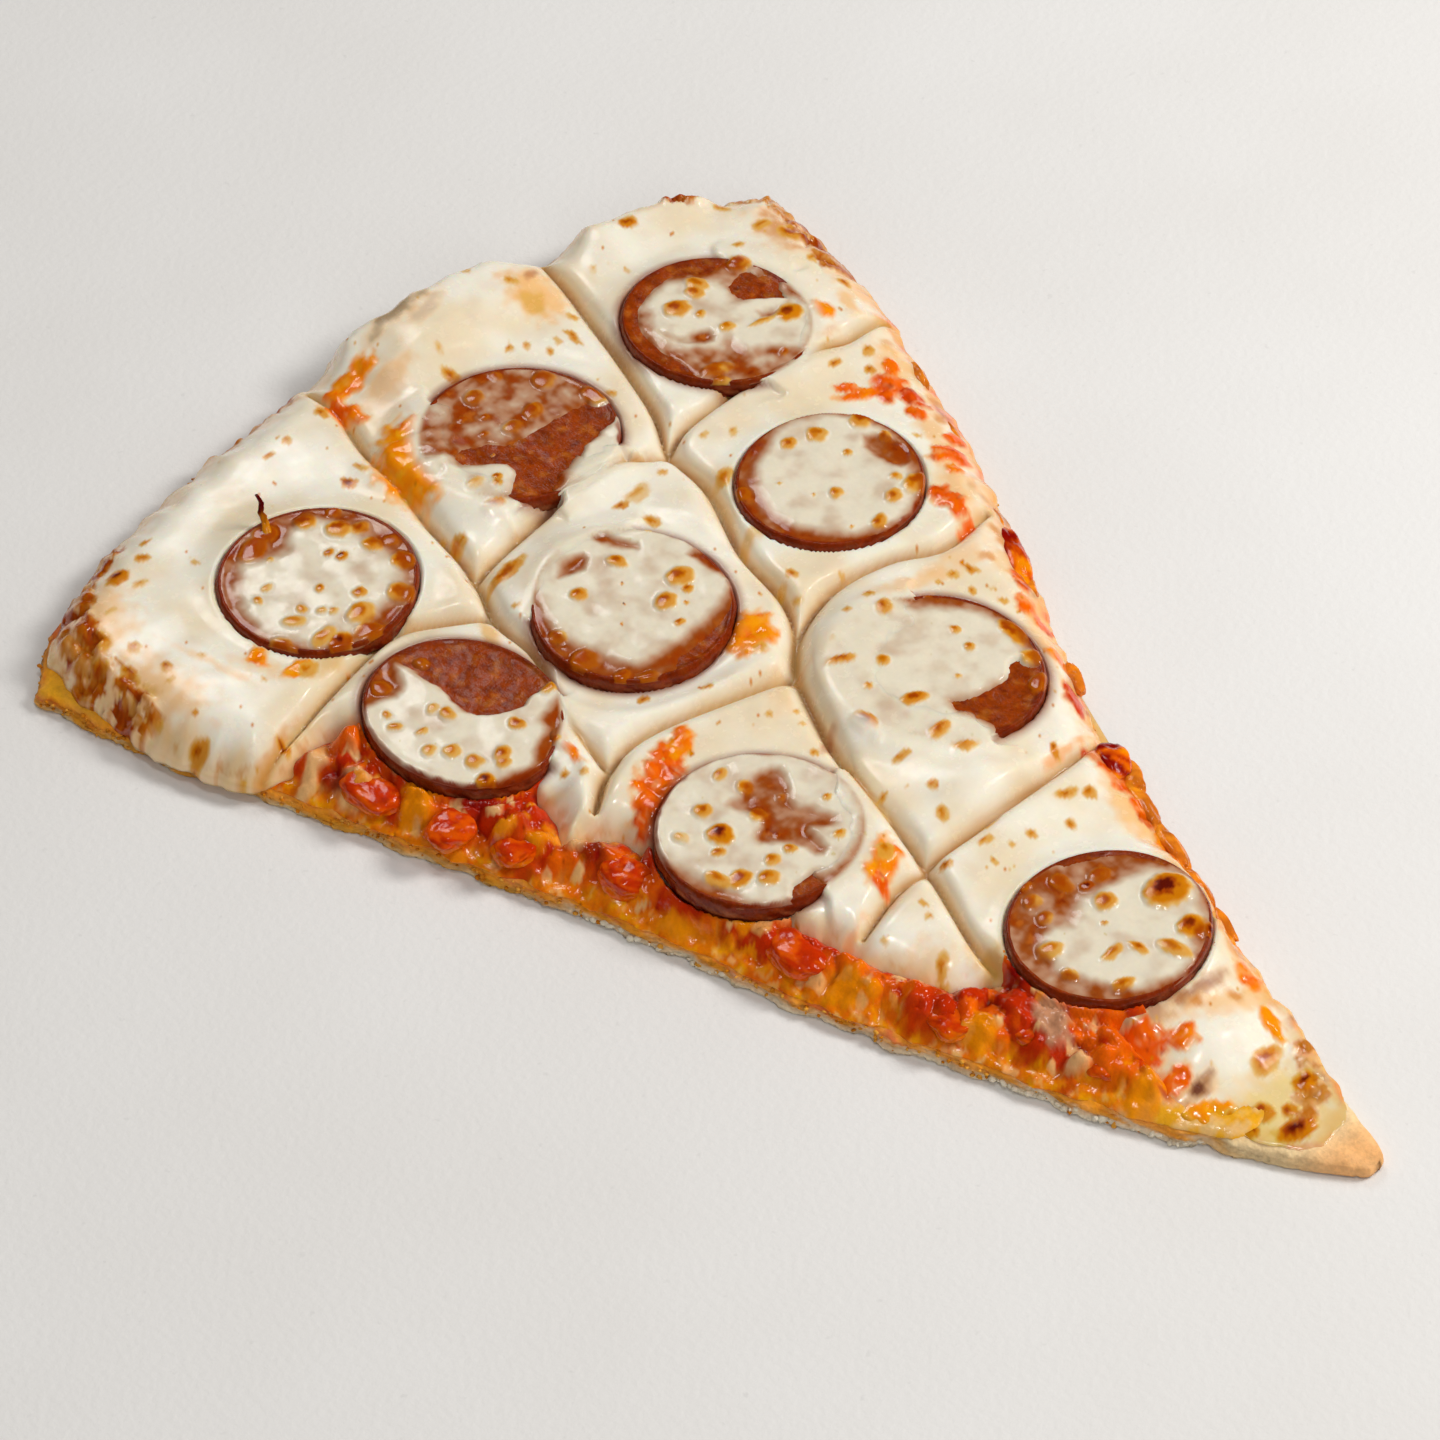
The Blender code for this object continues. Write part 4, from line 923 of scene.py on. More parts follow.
def make_crust():
    x, y, quads = grid_in(CRUST_LINE, 0.8)
    edge = distance_to(x, y, CRUST_LINE, closed=True)
    top = CRUST_TOP - 0.15 + 0.1 * rough(x, y, 6.0, 103) - 0.7 * (1 - shoulder(edge / 2.2))
    at_rim = smooth(2.5, 0.5, edge) * smooth(90, 100, y)
    top = top + at_rim * 0.8 * np.maximum(rough(x, y, 4.0, 104), 0)

    def rows(bx, by, bz):
        found = []
        for share in np.linspace(0.1, 0.95, 9):
            height = bz * (1 - share)
            calm = smooth(-117, -104, by)
            torn = 0.5 * calm * rough(bx + 4 * height, by - 5 * height, 2.2, 105)
            ledge = 0.55 * calm * smooth(0.9, 0.3, height + 0.5 * grain(bx, by, 4.0, 106))
            found.append((0.35 * math.sin(math.pi * share) + torn + ledge - 0.15 * calm, height))
        found.append((0.1 * grain(bx, by, 2.0, 107), 0.0))
        return found

    def floor(px, py):
        return 0.12 * np.maximum(rough(px, py, 7.0, 108), 0)

    points, faces = solid_sheet(x, y, top, quads, rows, floor)
    px, py, pz = points.T
    paint = crust_paint(px, py, pz)
    under = smooth(0.12, 0.03, pz)
    char = smooth(0.1, 0.7, rough(px, py, 9.0, 109, 4))
    toast = mix(mix(rgb(222, 178, 118), rgb(190, 128, 66), smooth(-0.5, 0.5, rough(px, py, 22, 112))),
                rgb(112, 66, 30), 0.75 * char)
    toast = mix(toast, FLOUR, 0.45 * smooth(0.2, 0.7, rough(px, py, 5.0, 115)))
    paint = mix(paint, toast, under)
    make_piece("crust_base", points, faces, paint, 0.1, LOOKS["crust"], "crust")


def make_flakes():
    """Torn crumbs and floury flakes that cling to the cut edge of the crust."""
    random = np.random.default_rng(7)
    line = CRUST_LINE
    out = normals_of(line)
    template_points, template_faces = ball(1)
    points, faces, paint = [], [], []
    count = 0
    on_cut = np.flatnonzero((line[:, 0] < 0) & (line[:, 1] < 92) & (line[:, 1] > -112))
    elsewhere = np.flatnonzero((line[:, 0] >= 0) | (line[:, 1] >= 92))
    picks = [(on_cut, 330), (elsewhere, 140)]
    for indices, wanted in picks:
        for _ in range(wanted):
            k = random.choice(indices)
            x, y = line[k]
            if y < -98:
                continue
            floury = -98 < y < -66 or -24 < y < 0
            size = random.uniform(0.18, 0.42) * (1.7 if floury and random.random() < 0.6 else 1)
            z = random.uniform(0.25, 0.9) if floury else random.uniform(0.3, 2.4)
            spot = Vector((*(line[k] + out[k] * random.uniform(0.1, 0.55)), z))
            stretch = random.uniform(0.6, 1.6, 3) * (1, 1, 0.6)
            turn = Matrix.Rotation(random.uniform(0, 6.28), 3, "Z")
            shape = [turn @ (Vector(p) * size * (1 + 0.35 * noise.noise(Vector(p) * 2 + spot)))
                     for p in template_points * stretch]
            points.extend([spot + p for p in shape])
            faces.extend([[i + count for i in f] for f in template_faces])
            tint = FLOUR if floury and random.random() < 0.8 else (
                DOUGH_GOLD if random.random() < 0.5 else ORANGE)
            paint.extend([tint] * len(shape))
            count += len(shape)
    points = np.array([tuple(p) for p in points])
    points[:, 2] = np.maximum(points[:, 2], 0.05)
    make_piece("crust_flakes", points, faces, np.array(paint), 0.0, LOOKS["crust"])


def ball(divisions):
    """Points and triangles of a round ball of radius 1."""
    import bmesh

    shape = bmesh.new()
    bmesh.ops.create_icosphere(shape, subdivisions=divisions, radius=1.0)
    points = np.array([tuple(v.co) for v in shape.verts])
    faces = [[v.index for v in f.verts] for f in shape.faces]
    shape.free()
    return points, faces


# ---------------------------------------------------------------- the sauce


# Lumps of cheese and tomato in the bare sauce: x, y, length, width, turn, height, colour.
SAUCE_LUMPS = [
    (-64.7, 41.5, 6.0, 6.5, 10, 1.6, PEACH), (-64.3, 41.0, 3.2, 4.2, 10, 0.9, OIL),
    (-59.9, 31.8, 6.5, 5.5, 10, 1.8, OIL), (-48.3, 8.4, 3.8, 3.4, 0, 1.5, PEACH),
    (-53.8, 17.0, 7.0, 6.5, 0, 0.9, SAUCE_RED), (-54.4, 17.6, 3.2, 3.0, 0, 0.9, OIL),
    (-55.2, 11.2, 7.0, 4.5, -50, 1.0, SAUCE_RED), (-50.5, 12.5, 7.0, 3.0, -40, 0.8, OIL),
    (-68.0, 48.5, 9.0, 3.0, 20, 1.0, PEACH), (-59.2, 48.4, 7.0, 5.5, -20, 2.4, SAUCE_ORANGE),
    (-44.5, -11.0, 3.5, 7.0, 10, 1.2, SAUCE_RED), (-47.0, -13.5, 3.0, 8.0, 10, 0.7, OIL),
    (-38.5, -3.5, 2.2, 9.0, -10, 1.3, PEACH), (-41.0, -19.0, 3.4, 9.0, 15, 0.8, OIL),
    (-36.0, -23.0, 4.0, 6.0, 30, 1.1, PEACH), (-37.0, -41.0, 6.0, 7.0, 20, 0.9, OIL),
    (-31.8, -53.1, 8.0, 9.0, 20, 1.2, SAUCE_RED), (-29.0, -61.0, 5.0, 6.0, 40, 0.9, OIL),
    (-20.8, -68.5, 5.5, 9.0, -20, 0.9, rgb(206, 158, 122)), (-22.5, -76.0, 4.0, 3.0, 0, 1.0, PEACH),
    (-18.8, -79.2, 6.0, 5.0, 10, 1.0, SAUCE_ORANGE), (-14.5, -77.0, 6.0, 6.5, 10, 1.4, SAUCE_ORANGE),
    (-15.0, -86.0, 9.0, 5.0, 10, 1.0, OIL), (-20.0, -87.5, 6.0, 5.0, 30, 0.8, OIL),
    (47.5, 8.5, 4.5, 14.0, -28, 1.2, SAUCE_RED), (49.0, 14.0, 4.0, 5.0, -20, 0.9, OIL),
]


def sauce_top(x, y):
    outside = -depth_in(x, y, CHEESE_EVEN)
    bare = smooth(-2.5, 1.5, outside) * (1 - 0.55 * smooth(-84, -94, y))
    for each in ROUNDS:
        gap = (each.share(x, y) - 1) * each.rx
        bare = np.minimum(bare, smooth(-1.0, 2.0, gap))
    edge = np.maximum(depth_in(x, y, SAUCE_LINE), 0)
    bend_x = x + 0.8 * grain(x, y, 2.6, 121)
    bend_y = y + 0.8 * grain(x, y, 2.6, 122)
    large, _ = clumps(bend_x, bend_y, 4.6, 123)
    piled = 0.0
    for index, high in ((0, 2.0), (1, 0.2), (3, 1.0)):
        each = ROUNDS[index]
        gap = (each.share(x, y) - 1) * each.rx
        near = smooth(4.5, 0.2, gap) * smooth(-0.8, 0.4, gap)
        piled = np.maximum(piled, near * (each.level(x, y) + high + 0.4 * large))
    small, _ = clumps(bend_x, bend_y, 2.0, 124)
    lumpy = 1.5 * large * smooth(1.5, 4.5, edge) + (0.2 + 0.55 * smooth(1, 4, edge)) * small
    lumpy = lumpy + 0.8 * rough(x, y, 5.0, 125, 2) + 0.12 * grain(x, y, 0.9, 128)
    rise = 2.2 * smooth(1.5, 8.0, edge)
    top = SAUCE_TOP - 1.0 + (rise + lumpy) * bare
    for sx, sy, length, width, turn, high, _ in SAUCE_LUMPS:
        q = oval(bend_x, bend_y, sx, sy, length / 2, width / 2, turn)
        top = top + high * np.sqrt(np.clip(1 - q**2, 0, 1)) * np.minimum(bare + 0.2, 1)
    top = np.maximum(top, piled)
    return CRUST_TOP - 0.25 + (top - CRUST_TOP + 0.25) * shoulder(edge / 2.6)


def sauce_paint(x, y, z):
    edge = np.maximum(depth_in(x, y, SAUCE_LINE), 0)
    bend_x = x + 0.8 * grain(x, y, 2.6, 121)
    bend_y = y + 0.8 * grain(x, y, 2.6, 122)
    large, kind = clumps(bend_x, bend_y, 4.6, 123)
    small, other = clumps(bend_x, bend_y, 2.0, 124)
    paint = mix(SAUCE_ORANGE, SAUCE_RED, smooth(0.2, 0.6, kind + 0.25 * rough(x, y, 6.0, 131)))
    paint = mix(paint, OIL, 0.8 * smooth(0.7, 0.8, other) * smooth(0.3, 0.7, small))
    paint = mix(paint, PEACH, 0.85 * smooth(0.86, 0.9, other) * smooth(0.3, 0.7, small))
    # Painted shade: the hollows between the lumps are darkened towards dark sauce.
    hollow_shade = smooth(0.7, 0.1, np.maximum(large, 0.6 * small)) * smooth(2.0, 5.0, edge)
    paint = mix(paint, SAUCE_DARK, 0.9 * hollow_shade)
    paint = mix(paint, TOMATO_RED, 0.6 * smooth(0.3, 0.7, rough(x, y, 3.4, 134)))
    outer = smooth(3.9, 1.5, edge + 1.9 * rough(x, y, 4.0, 139))
    golden = mix(rgb(246, 140, 14), rgb(252, 176, 44), smooth(0.0, 0.6, rough(x, y, 2.6, 141)))
    golden = mix(golden, rgb(250, 204, 120), 0.6 * smooth(0.3, 0.7, rough(x, y, 1.8, 143)))
    golden = mix(golden, mix(ORANGE, SAUCE_ORANGE, other), 0.6 * smooth(0.4, 0.1, small))
    golden = mix(golden, RUST, 0.5 * smooth(0.35, 0.8, rough(x, y, 3.0, 140)))
    knob = smooth(0.35, 0.7, other + 0.3 * rough(x, y, 3.0, 149))
    paint = mix(paint, golden, (0.85 - 0.45 * knob) * outer)
    at_tip = smooth(-84, -92, y + 4 * rough(x, y, 6.0, 142))
    paint = mix(paint, mix(rgb(244, 184, 60), rgb(240, 204, 136), smooth(-0.3, 0.4, rough(x, y, 3.0, 144))), 0.8 * at_tip)
    for sx, sy, length, width, turn, _, tint in SAUCE_LUMPS:
        q = oval(bend_x, bend_y, sx, sy, length / 2, width / 2, turn)
        paint = mix(paint, tint, 0.85 * smooth(1.2, 0.7, q + 0.25 * rough(x, y, 2.0, 145, 2)))
    # Painted shade: four deep hollows of the sauce, one of them in the recess beside a round, darkened towards
    # dark sauce.
    for sx, sy, radius in ((-65.2, 45.2, 3.0), (-47.6, 5.0, 2.6), (-17.3, -59.0, 3.4), (-53, 26, 4)):
        deep = smooth(1.2, 0.4, oval(bend_x, bend_y, sx, sy, radius, radius))
        paint = mix(paint, SAUCE_DARK, 0.9 * deep)
    char = smooth(0.8, 1.0, rough(x, y, 1.6, 147, 2))
    return mix(paint, SCORCH, 0.6 * char)


def make_sauce():
    def shows(px, py):
        return depth_in(px, py, CHEESE_EVEN) < 5.0

    x, y, quads = grid_in(SAUCE_LINE, 0.45, shows)
    top = sauce_top(x, y)

    def rows(bx, by, bz):
        return [
            (0.15, bz - 0.12), (0.2, bz * 0.5 + CRUST_TOP * 0.5 - 0.3), (0.1, CRUST_TOP - 0.7),
            (-0.3, CRUST_TOP - 0.9),
        ]

    points, faces = solid_sheet(x, y, top, quads, rows, lambda px, py: CRUST_TOP - 0.9 + 0 * px)
    px, py, pz = points.T
    make_piece("sauce_layer", points, faces, sauce_paint(px, py, pz), 0.75, LOOKS["sauce"],
               "sauce")


def make_tomatoes():
    template_points, template_faces = ball(5)
    for k in range(8):
        node = f"tomato_{k + 1}"
        low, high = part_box(node)
        middle, half = (low + high) / 2 / MM, (high - low) / 2 / MM
        points = []
        for p in template_points:
            at = Vector(p)
            dent = 0.2 * noise.noise(at * 1.3 + Vector((k * 5.0, 2, 0)))
            dent += 0.07 * noise.noise(at * 2.8 + Vector((0, k * 3.0, 1)))
            dent += 0.02 * noise.noise(at * 8.0 + Vector((1, 0, k * 4.0)))
            cubic = (abs(at.x) ** 4 + abs(at.y) ** 4 + abs(at.z) ** 4) ** 0.25
            points.append(at * (0.4 + 0.58 / cubic + dent))
        points = np.array([tuple(p) for p in points]) * np.array(half) * 1.08 + np.array(middle)
        points[:, 2] -= 0.5
        px, py, pz = points.T
        flow = rough(px + 2 * pz, py - pz, 3.0, 151 + k)
        paint = mix(TOMATO_RED, rgb(232, 98, 20), smooth(-0.3, 0.5, flow))
        paint = mix(paint, SAUCE_DARK, 0.5 * smooth(0.3, 0.8, rough(px - pz, py + 2 * pz, 3.0, 161)))
        paint = mix(paint, OIL, 0.5 * smooth(1.3, 0.2, (pz - low.z / MM) / 1.5 + flow))
        make_piece(f"tomato_piece_{k + 1}", points, np.array(template_faces), paint, 0.85,
                   LOOKS["tomato"], node)


# Sauce and tomato squeezed out at the far cut side: x, y, height, length, width, turn, thickness.
DROPS = [
    (47.3, 8.6, 4.6, 15.0, 5.4, 62, 4.0), (44.4, 2.2, 4.2, 7.0, 3.6, 60, 2.6),
    (51.6, 17.0, 4.4, 8.0, 3.0, 62, 2.6), (25.6, -35.4, 5.2, 8.0, 6.0, 60, 3.4),
    (26.6, -38.5, 4.2, 8.0, 4.0, 68, 2.4), (23.2, -45.0, 4.2, 10.0, 3.2, 70, 2.2),
    (20.4, -54.0, 4.0, 11.0, 3.0, 70, 2.0), (17.4, -62.5, 3.9, 9.0, 2.8, 70, 1.8),
    (14.8, -70.0, 3.8, 8.0, 2.6, 72, 1.6), (35.6, -17.5, 4.2, 7.0, 2.6, 62, 2.0),
    (60.4, 35.5, 4.6, 8.0, 2.6, 66, 2.2), (66.5, 50.0, 4.8, 7.0, 2.4, 66, 2.0),
]


def make_drops():
    template_points, template_faces = ball(4)
    points, faces, paint = [], [], []
    for k, (x, y, z, length, width, turn, thick) in enumerate(DROPS):
        shape = []
        for p in template_points:
            at = Vector(p)
            dent = 0.3 * noise.noise(at * 1.4 + Vector((k * 4.0, 1, 7)))
            dent += 0.12 * abs(noise.noise(at * 3.4 + Vector((2, k * 3.0, 5))))
            shape.append(at * (1 + dent))
        shape = np.array([tuple(p) for p in shape]) * (length / 2, width / 2, thick / 2)
        c, d = math.cos(math.radians(turn)), math.sin(math.radians(turn))
        px = x + shape[:, 0] * c - shape[:, 1] * d
        py = y + shape[:, 0] * d + shape[:, 1] * c
        pz = z + shape[:, 2]
        flow = rough(px + pz, py - pz, 3.4, 410 + k)
        tint = mix(mix(SAUCE_RED, SAUCE_ORANGE, smooth(-0.3, 0.4, flow)), OIL, 0.9 * smooth(0.2, 0.6, flow))
        if k not in (0, 3):
            tint = mix(tint, mix(OIL, GOLD, 0.3), 0.6)
        tint = mix(tint, SAUCE_DARK, (0.9 if k in (0, 3) else 0.25) * smooth(0.3, -0.4, flow))
        faces.append(np.array(template_faces) + len(template_points) * k)
        points.append(np.column_stack([px, py, np.maximum(pz, 2.2)]))
        paint.append(tint)
    make_piece("sauce_drops", np.vstack(points), np.vstack(faces), np.vstack(paint), 0.85,
               LOOKS["sauce"])


# ---------------------------------------------------------------- the cheese piece


def make_cheese():
    x, y, quads = grid_in(CHEESE_LINE, 0.5)
    cheese = Cheese(x, y, CHEESE_LINE)
    top = cheese.height()
    paint, wet = cheese.colour()

    def rows(bx, by, bz):
        at_cut = smooth(6, -6, bx * 0.93 + by * -0.35 + 50) * smooth(58, 48, by)
        hang = (1 - at_cut) * (0.75 + 0.45 * rough(bx, by, 7.0, 171))
        hang = hang * smooth(-104, -92, by)
        low = np.minimum(bz - 0.4, 3.0 - 1.5 * hang)
        return [
            (0.22 + 0.1 * hang, bz - 0.18), (0.35 + 0.35 * hang, bz * 0.65 + low * 0.35),
            (0.35 + 0.5 * hang, bz * 0.3 + low * 0.7), (0.2 + 0.45 * hang, low),
            (-0.6, low + 0.1),
        ]

    count = len(x)
    border = border_of(quads, count)
    after = dict(border.tolist())
    start = int(border[0, 0])
    loop = [start]
    while after[loop[-1]] != start:
        loop.append(after[loop[-1]])
    loop = np.array(loop)
    push = outward_at(x, y, border)[loop]
    points, faces, tints, wets = [np.column_stack([x, y, top])], [tuple(q) for q in quads], [paint], [wet]
    above, base = loop, count
    bx, by, bz = x[loop], y[loop], top[loop]
    for out, height in rows(bx, by, bz):
        points.append(np.column_stack([bx + push[:, 0] * out, by + push[:, 1] * out,
                                       np.broadcast_to(height, bx.shape)]))
        below = base + np.arange(len(loop))
        for i in range(len(loop)):
            j = (i + 1) % len(loop)
            faces.append((above[j], above[i], below[i], below[j]))
        above, base = below, base + len(loop)
        tints.append(paint[loop])
        wets.append(wet[loop])
    faces.append(tuple(above[::-1]))
    make_piece("cheese_top", np.vstack(points), faces, np.vstack(tints), np.concatenate(wets),
               LOOKS["cheese"], "cheese")


# ---------------------------------------------------------------- the pepperoni


def meat_paint(each, x, y):
    """Cured meat: mottled, with paler fat and a darker edge."""
    q = each.share(x, y)
    seed = 200 + each.index
    paint = mix(MEAT, MEAT_FAT, 0.55 * smooth(0.1, 0.7, rough(x, y, 2.6, seed)))
    paint = mix(paint, MEAT_DARK, 0.5 * smooth(0.1, 0.8, rough(x, y, 1.7, seed + 10)))
    ring = smooth(0.9, 0.975, q + 0.03 * rough(x, y, 3.0, seed + 20))
    return mix(paint, RIM_BROWN, 0.8 * ring)


def make_meat(each):
    segments = 150
    turn = np.linspace(0, 2 * math.pi, segments, endpoint=False)
    uneven = 1 + 0.012 * np.cos(2 * turn + each.index) + 0.008 * np.cos(3 * turn + 2.1 * each.index)
    round_x, round_y = 8 * np.cos(turn), 8 * np.sin(turn)
    nick = 0.014 * rough(round_x, round_y, 2.2, 230 + each.index) + 0.006 * grain(round_x, round_y, 0.5, 229)

    def ring(share):
        reach = share * (uneven + nick * share**4)
        return each.x + np.cos(turn) * reach * each.rx, each.y + np.sin(turn) * reach * each.ry

    rings = []
    for share in np.concatenate([np.linspace(0.02, 0.9, 34), np.linspace(0.915, 0.995, 8)]):
        x, y = ring(share)
        rings.append(np.column_stack([x, y, each.top(x, y)]))
    for drop in (0.25, 0.5, 0.75, 0.95):
        x, y = ring(1.0)
        wall = 0.05 * rough(x + 3 * drop, y, 1.5, 240)
        high = each.top(x, y) - 0.15
        low = each.level(x, y)
        rings.append(np.column_stack([x, y, high * (1 - drop) + low * drop + wall]))
    x, y = ring(0.95)
    rings.append(np.column_stack([x, y, each.level(x, y)]))
    points = np.vstack(rings)
    middle_top = [each.x, each.y, each.top(np.array(each.x), np.array(each.y)).item()]
    middle_low = [each.x, each.y, each.level(each.x, each.y)]
    count = len(points)
    points = np.vstack([points, middle_top, middle_low])
    faces = [(count, i, (i + 1) % segments) for i in range(segments)]
    for level in range(len(rings) - 1):
        for i in range(segments):
            a, b = level * segments + i, level * segments + (i + 1) % segments
            faces.append((a, a + segments, b + segments, b))
    last = (len(rings) - 1) * segments
    faces += [(count + 1, last + (i + 1) % segments, last + i) for i in range(segments)]
    px, py, pz = points.T
    paint = meat_paint(each, px, py)
    side = smooth(0.3, 1.2, each.top(px, py) - pz)
    patchy = rough(px + 2 * pz, py - pz, 2.6, 245)
    paint = mix(paint, mix(rgb(118, 52, 30), rgb(178, 108, 76), smooth(-0.3, 0.5, patchy)), 0.9 * side)
    glazed = smooth(0.0, 0.5, rough(px, py + pz, 5.0, 248))
    paint = mix(paint, rgb(176, 80, 14), 0.6 * side * glazed)
    make_piece(f"pepperoni_round_{each.index + 1}", points, faces, paint, 0.55, LOOKS["meat"],
               f"pepperoni_{each.index + 1}")


